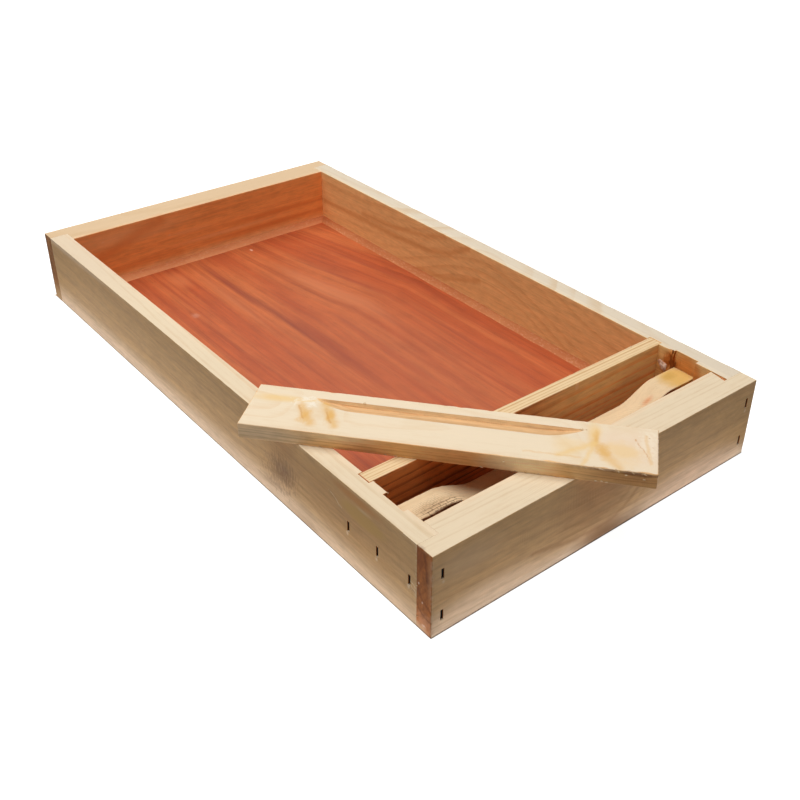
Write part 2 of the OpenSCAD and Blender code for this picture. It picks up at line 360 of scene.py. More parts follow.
def new_material(name):
    material = bpy.data.materials.new(name)
    material.use_nodes = True
    tree = material.node_tree
    bench = Bench(tree)
    return material, bench, tree.nodes["Principled BSDF"].inputs


def patch_mask(bench, position, seed, centre, size, share, soft, ragged, stretch):
    """How much of a spot lies at each point, with its middle and half sizes in millimetres."""
    mask = bench.group(PATCH, {
        "Position": position, "Centre": mm(*centre), "Size": mm(*size), "Soft": soft, "Ragged": ragged,
        "Stretch": stretch, "Seed": seed,
    })["Mask"]
    return bench.math("MULTIPLY", mask, share)


def lay_patches(bench, colour, position, patches):
    """Spots of other colours laid over a colour, one after another."""
    for index, (tint, *spot) in enumerate(patches):
        colour = bench.mix(patch_mask(bench, position, 3.7 * index + 1.0, *spot), colour, srgb(*tint))
    return colour


def lay_lines(bench, colour, position, lines):
    """Thin lines of other colours laid over a colour, each through its points."""
    for index, (points, width, tint, share) in enumerate(lines):
        whole = None
        for start, end in zip(points, points[1:]):
            mask = bench.group(SCRATCH, {
                "Position": position, "From": mm(*start), "To": mm(*end), "Width": width * MM,
                "Seed": 2.3 * index + 0.4,
            })["Mask"]
            whole = mask if whole is None else bench.math("MAXIMUM", whole, mask)
        colour = bench.mix(bench.math("MULTIPLY", whole, share), colour, srgb(*tint))
    return colour


def pine(name, pith, ring, early, late, end, seed, lean=(0, 0, 0), sway=6.0, line=0.6, cloud=0.16,
         knots=(), zones=(), patches=(), lines=(), top_bleach_and_light=0.0, pale=(244, 229, 203), rim_line=(216, 180, 132),
         top_line=0.5, level=(0.93, 0.99), marks=(1.3, 0.15, 0.25), relief=0.35, mottle=0.25, cracks=()):
    """One board's pine: pith, ring width and sway in millimetres, colours as a screen shows them.

    A zone is early and late wood of other colours, and its spot. A patch is a colour laid over the grain, and
    its spot. A spot is its middle, half sizes, share, softness, raggedness and the stretch of its torn edge.
    A line is its points, width, colour and share. Cracks are a net of checks.
    """
    material, bench, finish = new_material(name)
    where = bench.put("ShaderNodeTexCoord").outputs
    position, normal = where["Object"], where["Normal"]
    swell = 0.0
    for index, (centre, squeeze, radius, rise, reach) in enumerate(knots):
        branch = bench.group(KNOT, {
            "Position": position, "Centre": mm(*centre), "Squeeze": squeeze, "Radius": radius * MM,
            "Rise": rise * MM, "Reach": reach * MM, "Seed": seed + index,
        })["Swell"]
        swell = branch if index == 0 else bench.math("ADD", swell, branch)
    soft_wood, hard_wood = srgb(*early), srgb(*late)
    for zone_early, zone_late, *spot in zones:
        mask = patch_mask(bench, position, seed, *spot)
        soft_wood = bench.mix(mask, soft_wood, srgb(*zone_early))
        hard_wood = bench.mix(mask, hard_wood, srgb(*zone_late))
    grain = bench.group(PINE_GRAIN, {
        "Position": position, "Normal": normal, "Pith": mm(*pith), "Lean": lean, "Ring Width": ring * MM,
        "Sway": sway * MM, "Swell": swell, "Seed": seed, "Earlywood": soft_wood, "Latewood": hard_wood,
        "Line Strength": line, "Cloud": cloud, "Mottle": mottle, "End Colour": srgb(*end),
    })
    colour = grain["Color"]
    # Upward faces turn paler: partly the wood's own paler planed tops, partly painted light that stands in
    # for the washed-out brightness their top light gives.
    if top_bleach_and_light:
        upward = bench.ramp(bench.parts(normal)[2], *level)
        tan = bench.math("SUBTRACT", 1.0, grain["Shade"])
        tan = bench.math("MULTIPLY_ADD", grain["Late"], top_line, tan, clamp=True)
        paler = bench.mix(tan, srgb(*pale), srgb(*rim_line))
        colour = bench.mix(bench.math("MULTIPLY", upward, top_bleach_and_light), colour, paler)
    colour = lay_patches(bench, colour, position, patches)
    colour = lay_lines(bench, colour, position, lines)
    for tint, length, height, gap, *spot in cracks:
        bent = bench.wander(position, (170, 300, 60), 2, 0.5, seed)
        bent = bench.vector("MULTIPLY", bent, (3.0, 1.6, 0.0))
        sockets = {"Vector": bench.vector("ADD", bench.scale(position, 1 / MM), bent), "Scale": 1.0,
                   "Mortar Size": gap, "Mortar Smooth": 0.7, "Brick Width": length, "Row Height": height}
        checks = bench.put("ShaderNodeTexBrick", sockets).outputs["Fac"]
        mask = bench.math("MULTIPLY", checks, patch_mask(bench, position, seed, *spot))
        colour = bench.mix(mask, colour, srgb(*tint))
    worn = bench.group(WORN_ARRIS, {"Position": position, "Seed": seed})["Mask"]
    colour = bench.mix(bench.math("MULTIPLY", worn, 0.22), colour, srgb(240, 222, 194))
    pitch, slant, depth = marks
    sockets = {"Position": position, "Pitch": pitch * MM, "Slant": slant, "Seed": seed}
    ridges = bench.group(MACHINE_MARKS, sockets)["Height"]
    height = bench.math("MULTIPLY_ADD", ridges, depth, grain["Height"])
    bench.dress(finish, colour, grain["Roughness"], height, relief, 0.4, 0.12)
    return material


def red_plywood():
    """Floor panel: red-brown veneer with long dark streaks, and thin plies on its edges."""
    material, bench, finish = new_material("red_plywood")
    where = bench.put("ShaderNodeTexCoord").outputs
    position, normal = where["Object"], where["Normal"]
    along, across, upright = bench.parts(position)
    slope = bench.math("MINIMUM", bench.math("MULTIPLY_ADD", along, -0.2, 0.04), 0.03)
    lean = bench.math("MULTIPLY", bench.ramp(across, 0.03, -0.08), slope)
    leant = {"X": along, "Y": bench.math("ADD", across, lean), "Z": upright}
    leant = bench.put("ShaderNodeCombineXYZ", leant).outputs[0]
    sheet = bench.group(VENEER, {
        "Position": leant, "Seed": 4.6, "Pale": srgb(196, 106, 59), "Middle": srgb(182, 87, 46),
        "Dark": srgb(140, 54, 31),
    })
    thread = (9, 260, 10)
    colour = lay_patches(bench, sheet["Color"], leant, [
        ((184, 100, 70), (-60, 0, 4), (170, 150, 9), 0.25, 0.9, 0.2, (4, 20, 10)),
        ((168, 74, 42), (195, 0, 4), (50, 18, 9), 0.5, 0.9, 0.8, (6, 60, 10)),
        ((214, 130, 84), (80, -26, 4), (95, 10, 9), 0.55, 0.9, 0.9, (6, 90, 10)),
        ((210, 124, 78), (130, 30, 4), (90, 7, 9), 0.4, 0.9, 1.0, thread),
        ((130, 50, 38), (150, 19, 4), (90, 4.6, 9), 0.6, 0.9, 0.9, thread),
        ((140, 58, 40), (10, 12.5, 4), (120, 7, 9), 0.45, 0.9, 1.2, thread),
        ((120, 46, 36), (90, 16.5, 4), (120, 2.4, 9), 0.5, 0.9, 1.0, thread),
        ((150, 60, 36), (165, 40, 4), (75, 2.4, 9), 0.45, 0.9, 1.2, thread),
        ((150, 60, 36), (160, 49, 4), (70, 2.2, 9), 0.35, 0.9, 1.2, thread),
        ((150, 60, 36), (150, 62, 4), (80, 2.6, 9), 0.4, 0.9, 1.2, thread),
        ((152, 66, 42), (105, -47, 4), (95, 4.0, 9), 0.5, 0.9, 0.9, thread),
        ((152, 66, 42), (90, -78, 4), (110, 4.6, 9), 0.5, 0.9, 0.9, thread),
        ((156, 72, 50), (-20, -8, 4), (110, 3.5, 9), 0.35, 0.9, 1.2, thread),
        ((156, 72, 50), (-60, -50, 4), (90, 3.5, 9), 0.35, 0.9, 1.2, thread),
    ])
    colour = lay_patches(bench, colour, position, [
        ((242, 206, 180), (194, -32, 4), (3.2, 1.4, 5), 0.85, 0.8, 0.6, (300, 600, 60)),
        ((214, 150, 122), (116, 67, 4), (6, 5, 5), 0.45, 0.9, 0.8, (200, 200, 60)),
        ((218, 128, 78), (182, 48, 4), (28, 13, 9), 0.5, 0.9, 0.8, (10, 120, 10)),
        ((146, 62, 38), (74, -4, 4), (62, 8, 9), 0.3, 0.9, 1.0, (9, 200, 10)),
    ])
    side = bench.ramp(bench.math("ABSOLUTE", bench.parts(normal)[2]), 0.6, 0.4)
    below, ply_pair = 4.5 * MM, 3.6 * MM
    ply = bench.math("FRACT", bench.math("DIVIDE", bench.math("ADD", upright, below), ply_pair))
    ply = bench.math("GREATER_THAN", ply, 0.5)
    plies = bench.mix(ply, srgb(196, 142, 104), srgb(140, 80, 54))
    colour = bench.mix(side, colour, plies)
    bench.dress(finish, colour, sheet["Roughness"], sheet["Height"], 0.3, 0.3, 0.3)
    return material


def drawn_sealant(name, deep, pale):
    """Sealant drawn with a finger: clear brown, streaked along the joint, dusty on its ridges."""
    material, bench, finish = new_material(name)
    position = bench.put("ShaderNodeTexCoord").outputs["Object"]
    broad = bench.noise(position, (30, 30, 200), 2, 0.5, 1.0)
    fine = bench.noise(position, (350, 350, 900), 3, 0.6, 2.0)
    colour = bench.mix(bench.ramp(broad, 0.35, 0.65), srgb(*deep), srgb(*pale))
    colour = bench.mix(bench.math("MULTIPLY", bench.ramp(fine, 0.5, 0.7), 0.3), colour, srgb(238, 184, 140))
    bench.dress(finish, colour, bench.math("MULTIPLY_ADD", fine, 0.3, 0.5), fine, 0.4, 0.4, 0.25)
    return material


def pale_sealant():
    """A dab of sealant that dried pale, with a dusty skin."""
    material, bench, finish = new_material("pale_sealant")
    position = bench.put("ShaderNodeTexCoord").outputs["Object"]
    dust = bench.noise(position, (420, 420, 420), 3, 0.6, 6.0)
    colour = bench.mix(bench.ramp(dust, 0.35, 0.65), srgb(214, 168, 138), srgb(242, 216, 196))
    bench.dress(finish, colour, bench.math("MULTIPLY_ADD", dust, 0.3, 0.4), dust, 0.4, 0.4)
    return material


def dull_steel():
    """Staple wire: dark drawn steel with brown tarnish."""
    material, bench, finish = new_material("dull_steel")
    position = bench.put("ShaderNodeTexCoord").outputs["Object"]
    spots = bench.noise(position, (700, 700, 700), 3, 0.6, 5.0)
    drawn = bench.noise(position, (2600, 2600, 300), 2, 0.5, 8.0)
    tarnish = bench.ramp(spots, 0.45, 0.62)
    colour = bench.mix(tarnish, srgb(26, 21, 17), srgb(24, 15, 10))
    bench.feed(finish["Metallic"], bench.math("MULTIPLY_ADD", tarnish, -0.15, 0.2))
    bench.dress(finish, colour, bench.math("MULTIPLY_ADD", drawn, 0.3, 0.5), drawn, 0.25, 0.1, 0.25)
    return material


def torn_fibre():
    """Pale torn wood fibre."""
    material, bench, finish = new_material("torn_fibre")
    position = bench.put("ShaderNodeTexCoord").outputs["Object"]
    strand = bench.noise(position, (500, 500, 500), 3, 0.6, 3.0)
    colour = bench.mix(bench.ramp(strand, 0.35, 0.65), srgb(212, 176, 130), srgb(236, 212, 174))
    bench.feed(finish["Base Color"], colour)
    bench.feed(finish["Roughness"], bench.math("MULTIPLY_ADD", strand, 0.2, 0.6))
    return material


# Meshes

# Lengths are in metres, and the sharp turn between two faces in radians
MERGE = 0.02 * MM
TOUCH = 0.01 * MM
FAR = 1.0
SHARP_TURN = 1.0
ARRIS_REACH = 1.1 * MM
EDGE_MARGIN = 2.0 * MM
JOINT_RADIUS = 0.06 * MM


def split(places, step):
    """Places in order, with more put between them so that none are further apart than the step."""
    kept = []
    for place in sorted(places):
        if not kept or place - kept[-1] > MERGE:
            kept.append(place)
    out = []
    for start, end in zip(kept, kept[1:]):
        count = max(1, math.ceil((end - start) / step - 1e-6))
        out += [start + (end - start) * i / count for i in range(count)]
    return out + [kept[-1]]


def sawn_block(cuts, holes):
    """Surface of a block divided at the cuts along X, Y and Z, less the holes."""
    middles = [(np.array(c[1:]) + np.array(c[:-1])) / 2 for c in cuts]
    wood = np.ones([len(m) for m in middles], bool)
    for low, high in holes:
        inside = [(middles[a] > low[a]) & (middles[a] < high[a]) for a in range(3)]
        wood[np.ix_(*inside)] = False
    wood = np.pad(wood, 1)
    bm = bmesh.new()
    corners = {}

    def corner(index):
        if index not in corners:
            corners[index] = bm.verts.new([cuts[a][index[a]] for a in range(3)])
        return corners[index]

    for axis in range(3):
        second, third = (axis + 1) % 3, (axis + 2) % 3
        for way in (1, -1):
            open_side = wood & ~np.roll(wood, -way, axis)
            for cell in np.argwhere(open_side):
                base = [int(c) - 1 for c in cell]
                base[axis] += 1 if way == 1 else 0
                ring = []
                for b, c in ((0, 0), (1, 0), (1, 1), (0, 1)):
                    index = list(base)
                    index[second] += b
                    index[third] += c
                    ring.append(corner(tuple(index)))
                bm.faces.new(ring if way == 1 else ring[::-1])
    bm.normal_update()
    return bm


def break_arrises(bm, radius, fine, is_joint, skip):
    """Rounds the outer edges of a board, and those in its joints by less."""
    for width, joint in ((radius, False), (fine, True)):
        edges = []
        for edge in bm.edges:
            if len(edge.link_faces) != 2 or edge.calc_face_angle_signed() < SHARP_TURN:
                continue
            middle = (edge.verts[0].co + edge.verts[1].co) / 2
            if not skip(middle) and is_joint(middle) == joint:
                edges.append(edge)
        if edges:
            bmesh.ops.bevel(bm, geom=edges, offset=width, segments=2, profile=0.5, affect="EDGES",
                            clamp_overlap=False)
    bm.normal_update()


def near_arris(point, low, high):
    """How near a point is to an arris of its board, 1 on it, and the way from there into the wood."""
    gaps = []
    for axis in range(3):
        below, above = point[axis] - low[axis], high[axis] - point[axis]
        gaps.append((min(below, above), axis, 1 if below < above else -1))
    gaps.sort()
    inward = Vector((0, 0, 0))
    for _, axis, way in gaps[:2]:
        inward[axis] += way
    return max(0.0, 1 - gaps[1][0] / ARRIS_REACH), inward


def wear_arrises(bm, low, high, depth, seed, is_joint):
    """Rubs the outer arrises unevenly, with small dents here and there."""
    for vert in bm.verts:
        share, inward = near_arris(vert.co, low, high)
        if share <= 0 or is_joint(vert.co):
            continue
        place = vert.co * 55 + Vector((seed, seed * 0.7, 0))
        wave = 0.5 + 0.5 * noise.noise(place)
        dent = max(0.0, noise.noise(place * 3.1) - 0.28)
        vert.co += inward * share * depth * (0.6 * wave + 3.0 * dent)


def mark_arrises(mesh, low, high):
    """Stores how near each point is to an arris, for the materials."""
    near = mesh.attributes.new("arris", "FLOAT", "POINT")
    near.data.foreach_set("value", [near_arris(v.co, low, high)[0] for v in mesh.vertices])


def skin(bm, rings):
    """Faces between rings of points, one ring after another, with a cap at each end."""
    for first, second in zip(rings, rings[1:]):
        for i in range(len(first)):
            j = (i + 1) % len(first)
            bm.faces.new((first[i], first[j], second[j], second[i]))
    bm.faces.new(rings[0][::-1])
    bm.faces.new(rings[-1])


def finish_piece(name, bm, material, nodes=(), place=Matrix.Identity(4), body="tray", box=None):
    """Turns a mesh into a piece that rides on its body and stands for its nodes."""
    mesh = bpy.data.meshes.new(name)
    bmesh.ops.recalc_face_normals(bm, faces=bm.faces)
    bm.to_mesh(mesh)
    bm.free()
    if box:
        mark_arrises(mesh, *box)
    mesh.shade_smooth()
    mesh.materials.append(material)
    piece = bpy.data.objects.new(name, mesh)
    piece.matrix_world = place
    bpy.context.scene.collection.objects.link(piece)
    soften = piece.modifiers.new("even_normals", "WEIGHTED_NORMAL")
    soften.keep_sharp = True
    mesh.set_sharp_from_angle(angle=math.radians(50))
    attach(piece, body)
    if nodes:
        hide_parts(*nodes)


def across_place(low, high):
    """A board whose grain runs across the tray."""
    return Matrix.Translation((low + high) / 2)


def along_place(low, high):
    """A board whose grain runs from front to back: its own X is the tray's Y."""
    return Matrix.Translation((low + high) / 2) @ Matrix.Rotation(math.pi / 2, 4, "Z")


def turned_box(place, low, high):
    """A box of the tray in a board's own axes."""
    first, second = place.inverted() @ low, place.inverted() @ high
    return Vector(map(min, first, second)), Vector(map(max, first, second))


def grown(box, *amounts):
    """A box made larger on every side, by one amount for each axis, in millimetres."""
    size = mm(*amounts)
    return box[0] - size, box[1] + size


def make_board(node, place, material, seed, holes=(), slits=(), joints=(), step=6.0, radius=0.4, wear=0.16,
               slot="pine_board", shape=None, more_cuts=((), (), ())):
    """A board in its node's place, with its holes and slits cut out.

    These are boxes of the tray, and so are the joints, which lie round the edges that stay tight.
    """
    low, high = turned_box(place, *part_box(node))
    hollow, slots, tight = ([turned_box(place, *box) for box in boxes] for boxes in (holes, slits, joints))
    cuts = []
    for axis in range(3):
        places = [low[axis], low[axis] + EDGE_MARGIN, high[axis] - EDGE_MARGIN, high[axis]]
        places += [p[axis] for box in hollow + slots for p in box if low[axis] < p[axis] < high[axis]]
        places += [p for p in more_cuts[axis] if low[axis] < p < high[axis]]
        cuts.append(split(places, step * MM if axis == 0 else FAR))

    def within(boxes, point):
        return any(all(lo[a] - TOUCH < point[a] < hi[a] + TOUCH for a in range(3)) for lo, hi in boxes)

    def is_joint(point):
        return within(tight, point)

    bm = sawn_block(cuts, hollow + slots)
    break_arrises(bm, radius * MM, JOINT_RADIUS, is_joint, lambda p: within(slots, p))
    wear_arrises(bm, low, high, wear * MM, seed, is_joint)
    if shape:
        shape(bm, low, high)
    finish_piece(node + "_wood", bm, material, [node], place, box=(low, high))


# Staples

def solids_of(node):
    """The boxes of a node's separate solids."""
    bm = bmesh.new()
    bm.from_mesh(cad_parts[node].data)
    bmesh.ops.remove_doubles(bm, verts=bm.verts, dist=1e-6)
    left = set(bm.verts)
    boxes = []
    while left:
        start = left.pop()
        reached, waiting = [start], [start]
        while waiting:
            for edge in waiting.pop().link_edges:
                for vert in edge.verts:
                    if vert in left:
                        left.remove(vert)
                        reached.append(vert)
                        waiting.append(vert)
        points = [v.co for v in reached]
        boxes.append((Vector(min(p[a] for p in points) for a in range(3)),
                      Vector(max(p[a] for p in points) for a in range(3))))
    bm.free()
    return sorted(boxes, key=lambda b: tuple(round(v, 5) for v in b[0]))


STAPLE_NODES = ["front_corner_staples", "back_corner_staples", "front_board_staples", "partition_staples",
                "weir_staples", "floor_staples"]
tray_middle = (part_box("left_side")[0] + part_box("right_side")[1]) / 2


def staple_axes(box):
    """The leg's axis, the crown's axis, the wire's axis, and which way the crown faces."""
    size = box[1] - box[0]
    leg, crown, wire = sorted(range(3), key=lambda a: -size[a])
    out = 1 if (box[0][leg] + box[1][leg]) / 2 > tray_middle[leg] else -1
    return leg, crown, wire, out


def staple_slit(box):
    """The slit that a driven crown leaves in the wood."""
    leg, crown, wire, out = staple_axes(box)
    low, high = grown(box, 0, 0, 0)
    for axis, play in ((crown, 0.3 * MM), (wire, 0.42 * MM)):
        low[axis] -= play
        high[axis] += play
    top = box[1][leg] if out > 0 else box[0][leg]
    beyond, depth = 5 * MM, 1.4 * MM
    low[leg], high[leg] = sorted((top + out * beyond, top - out * depth))
    return low, high


def slit_shadows(place, slits):
    """Dark patches of a board's material, in the depth of each of its slits."""
    shadows = []
    spread, play, depth = 1.9, 0.6, 1.7
    for slit in slits:
        low, high = turned_box(place, *slit)
        middle, half = (low + high) / 2, (high - low) / 2
        middle.y = min(low.y, high.y, key=abs)
        size = half.x / MM * spread + play, depth, half.z / MM * spread + play
        shadows.append(((26, 17, 11), tuple(middle / MM), size, 1.0, 0.35, 0.0, EVEN))
    return shadows


def bent_wire(bm, box):
    """One staple: flat wire bent over a rounded crown, with chisel-cut legs."""
    leg, crown, wire, out = staple_axes(box)
    size = box[1] - box[0]
    middle = (box[0] + box[1]) / 2
    thick, wide, bend, sunk, sides = 1.0 * MM, size[wire], 0.9 * MM, 0.5 * MM, 12
    half = size[crown] / 2 - thick / 2
    reach = size[leg] - thick / 2 - sunk
    path = [(-half, -reach), (-half, -reach * 0.5), (-half, -bend)]
    for angle in (math.radians(v) for v in (22, 45, 68, 90)):
        path.append((-half + bend - bend * math.cos(angle), -bend + bend * math.sin(angle)))
    path.append((-half * 0.3, 0))
    path += [(-u, w) for u, w in reversed(path)]
    top = (box[1][leg] if out > 0 else box[0][leg]) - out * (thick / 2 + sunk)
    rings = []
    for index, (u, w) in enumerate(path):
        before, after = path[max(index - 1, 0)], path[min(index + 1, len(path) - 1)]
        du, dw = after[0] - before[0], after[1] - before[1]
        length = math.hypot(du, dw)
        tip = 0.55 if index in (0, len(path) - 1) else 1.0
        ring = []
        for turn in range(sides):
            angle = 2 * math.pi * turn / sides
            side = math.copysign(abs(math.cos(angle)) ** 0.6, math.cos(angle)) * thick / 2 * tip
            face = math.copysign(abs(math.sin(angle)) ** 0.6, math.sin(angle)) * wide / 2 * tip
            point = Vector((0, 0, 0))
            point[crown] = middle[crown] + u - dw / length * side
            point[leg] = top + out * (w + du / length * side)
            point[wire] = middle[wire] + face
            ring.append(bm.verts.new(point))
        rings.append(ring)
    skin(bm, rings)


def make_staples(material):
    for node in STAPLE_NODES:
        bm = bmesh.new()
        for box in solids_of(node):
            bent_wire(bm, box)
        finish_piece(node + "_wire", bm, material, [node])


# Sealant

def fillet(bm, start, end, wall, leg, seed):
    """A finger-drawn fillet from start to end, where wall points from the wall into the tray."""
    length = (end - start).length
    along = (end - start).normalized()
    count = max(2, round(length / (5 * MM)))
    steps, roundness = 6, 0.4
    rings = []
    for index in range(count + 1):
        base = start + along * length * index / count
        wave = 1 + 0.14 * noise.noise(base * 60 + Vector((seed, 0, 0)))
        lift = 1 + 0.16 * noise.noise(base * 45 + Vector((0, seed, 0)))
        ring = [bm.verts.new(base)]
        for turn in range(steps + 1):
            angle = math.pi / 2 * turn / steps
            hollow = Vector((1 - math.sin(angle), 1 - math.cos(angle)))
            straight = Vector((1 - turn / steps, turn / steps))
            out, up = hollow * roundness + straight * (1 - roundness)
            ring.append(bm.verts.new(base + wall * leg * out * wave + UP * leg * up * lift))
        rings.append(ring)
    skin(bm, rings)


def make_beads(material, back_material):
    left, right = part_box("seal_bead_left"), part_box("seal_bead_right")
    back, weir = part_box("seal_bead_back"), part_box("seal_bead_weir")
    leg = back[1].z - back[0].z
    inner_left, inner_right, foot = back[0].x, back[1].x, back[0].z
    runs = {
        "seal_bead_back": [((inner_left, back[1].y), (inner_right, back[1].y), (0, -1))],
        "seal_bead_left": [((inner_left, left[0].y), (inner_left, back[1].y), (1, 0))],
        "seal_bead_right": [((inner_right, right[0].y), (inner_right, back[1].y), (-1, 0))],
        "seal_bead_weir": [((inner_left, weir[0].y), (inner_right, weir[0].y), (0, 1)),
                           ((inner_left, weir[0].y), (inner_left, weir[1].y), (1, 0)),
                           ((inner_right, weir[0].y), (inner_right, weir[1].y), (-1, 0))],
    }
    for index, (node, lines) in enumerate(runs.items()):
        bm = bmesh.new()
        for start, end, wall in lines:
            fillet(bm, Vector((*start, foot)), Vector((*end, foot)), Vector((*wall, 0)), leg, 3.0 * index)
        drawn = back_material if node == "seal_bead_back" else material
        finish_piece(node + "_drawn", bm, drawn, [node])


# Torn fibres

def sliver(bm, root, reach, curl, width):
    """A torn strand of wood: flat at its root, curling to a point."""
    along = reach.normalized()
    side = along.cross(curl if curl.length > 1e-6 else UP).normalized()
    over = side.cross(along)
    steps, point, flatness = 5, 0.04 * MM, 0.4
    rings = []
    for index in range(steps + 1):
        share = index / steps
        centre = root + reach * share + curl * share * share
        half = width / 2 * (1 - share ** 1.6) + point
        rings.append([bm.verts.new(centre + side * half * s + over * half * flatness * o)
                      for s, o in ((1, 0), (0, 1), (-1, 0), (0, -1))])
    skin(bm, rings)


# The tray

def make_tray():
    front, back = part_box("front_board"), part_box("back_board")
    left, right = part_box("left_side"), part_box("right_side")
    floor, wall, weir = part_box("floor_panel"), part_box("partition"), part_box("bee_weir")
    slits = [staple_slit(box) for node in STAPLE_NODES for box in solids_of(node)]
    floor_seat = grown(floor, 0.3, 0.3, 0)
    floor_seat[0].z -= 5 * MM
    groove = grown(wall, 0.2, 0, 0)
    groove[1].z += 5 * MM
    housing = grown(weir, 0.2, 0, 0)
    housing[0].z -= 5 * MM
    housing[1].z += 50 * MM
    foot = Vector((-FAR, -FAR, -FAR)), Vector((FAR, FAR, 0.3 * MM))

    def mine(node):
        """The slits that open in a board's outer face, or in the floor's underside."""
        low, high = grown(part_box(node), 0.01, 0.01, 0.01)
        kept = []
        for slit in slits:
            middle = (slit[0] + slit[1]) / 2
            inside = [low[a] < middle[a] < high[a] for a in range(3)]
            if sum(inside) >= 2 and all(slit[0][a] < high[a] and slit[1][a] > low[a] for a in range(3)):
                kept.append(slit)
        return kept

    def outer_board(node, place, pine_of, seed, holes, joints, **more):
        """One of the four boards round the tray, slit by its staples."""
        cuts = mine(node)
        material = pine_of(slit_shadows(place, cuts))
        make_board(node, place, material, seed, holes, cuts, joints, **more)

    joint_gap = 1.2 * MM

    def ease_shoulder(bm, low, high):
        """The open joint at the right: tight inside, wider towards the lip."""
        end = right[0].x - joint_gap
        for vert in bm.verts:
            if abs(vert.co.x - end) < 0.45 * MM and vert.co.y > -0.2 * MM:
                vert.co.x += (0.5 - 2.0 * (1 - max(vert.co.y, 0) / high.y)) * MM

    corners = [grown(side, 1, 0.5, 1) for side in (left, right)] + [foot]
    shoulders = [(Vector((-FAR, left[0].y, -FAR)), Vector((left[1].x, 0, FAR))),
                 (Vector((right[0].x - joint_gap, left[0].y, -FAR)), Vector((FAR, 0, FAR)))]
    outer_board("front_board", across_place(*front), front_pine, 2.0, shoulders, corners, shape=ease_shoulder)
    shoulders = [(Vector((-FAR, 0, -FAR)), Vector((left[1].x, left[1].y, FAR))),
                 (Vector((right[0].x, 0, -FAR)), Vector((FAR, left[1].y, FAR)))]
    outer_board("back_board", across_place(*back), back_pine, 5.0, shoulders + [floor_seat], corners)
    ends = [grown(front, 1, 1, 1), grown(back, 1, 1, 1), foot]
    sunk = [floor_seat, groove, housing]
    outer_board("left_side", along_place(*left), left_pine, 8.0, sunk, ends)
    torn_cuts = ([weir[1].y + v * MM for v in (0.8, 1.6, 2.6, 4.0)], [5.0 * MM, 6.2 * MM],
                 [v * MM for v in (9, 12, 14, 16, 18, 20, 22, 24, 26)])
    outer_board("right_side", along_place(*right), right_pine, 11.0, sunk, ends, radius=0.35,
                shape=break_corner(weir[1].y), more_cuts=torn_cuts)
    make_board("floor_panel", along_place(*floor), red_plywood(), 14.0, slits=mine("floor_panel"), step=12,
               radius=0.3, wear=0.08, slot="plywood")
    slot_half, slot_rise = 107.5 * MM, 3 * MM
    slot = Vector((-slot_half, -FAR, -FAR)), Vector((slot_half, FAR, wall[0].z + slot_rise))
    make_board("partition", across_place(*wall), partition_pine(), 17.0, [slot], step=4, slot="pine_planed")
    sawn_cuts = ((), [i * 1.5 * MM for i in range(-6, 7)], [i * 4 * MM for i in range(-5, 6)])
    make_board("bee_weir", across_place(*weir), weir_pine(), 20.0, [floor_seat], step=2.5, radius=0.5,
               wear=0.25, slot="pine_sawn", shape=dish_profile(), more_cuts=sawn_cuts)


def break_corner(edge):
    """Wood torn out of the side where the weir's housing was cut too near the partition's groove."""
    def shape(bm, low, high):
        for vert in bm.verts:
            x, y, z = vert.co
            beside = max(0.0, 1 - abs(x - edge - 0.5 * MM) / (5.5 * MM))
            near = beside * max(0.0, 1 - (high.y - y) / (3.4 * MM))
            tall = min(1.0, max(0.0, (z - 8 * MM) / (8 * MM)))
            if near > 0 and tall > 0:
                rough = 0.8 + 1.3 * noise.noise(Vector((x * 300, y * 300, z * 420)))
                vert.co += Vector((1.3, -1.9, 0)) * MM * rough * near * tall
    return shape


def dish_profile():
    """Bends the weir's top to its ears, sweeps and low crest, and leaves it uneven from the saw."""
    ear_left, ear_right, sweep, drop = 30 * MM, 20 * MM, 33 * MM, 9.5 * MM
    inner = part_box("right_side")[0].x

    def fall(x):
        from_left, from_right = x + inner - ear_left, inner - ear_right - x
        share = min(max(min(from_left, from_right) / sweep, 0), 1)
        return drop * (1 - math.cos(math.pi * share)) / 2

    def shape(bm, low, high):
        base = low.z + 12 * MM
        for vert in bm.verts:
            if vert.co.z <= base:
                continue
            share = (vert.co.z - base) / (high.z - base)
            vert.co.z -= fall(vert.co.x) * share
            if share > 0.97:
                ridge = noise.noise(vert.co * 220) * 0.16 + noise.noise(vert.co * 60) * 0.25
                vert.co.z += (ridge - 0.2) * MM
                ear = max(0.0, 1 - abs(vert.co.x + 97 * MM) / (15 * MM))
                edge = max(0.0, 1 - (vert.co.y - low.y) / (6 * MM))
                chip = max(0.0, noise.cell(Vector((vert.co.x * 320, vert.co.y * 480, 3.5))) - 0.35)
                vert.co.z -= 1.6 * chip * ear * edge * MM
    return shape


# The cover

def cover_place():
    """The cover's own axes: X along the board from its left end, Z up, from the corners of its underside."""
    points = [v.co.copy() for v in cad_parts["cover_board"].data.vertices]
    floor = min(p.z for p in points)
    low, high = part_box("cover_board")
    under = [p for p in points if p.z < floor + 0.1 * MM]
    corners = [max(under, key=lambda p: way.dot(p)) for way in
               (Vector((-1, 0, 0)), Vector((0, 1, 0)), Vector((1, 0, 0)), Vector((0, -1, 0)))]
    along = (corners[2] - corners[1]).normalized()
    centre = (low + high) / 2
    turn = math.atan2(along.y, along.x)
    place = Matrix.Translation(centre) @ Matrix.Rotation(turn, 4, "Z")
    return place, (corners[2] - corners[1]).length, (corners[1] - corners[0]).length


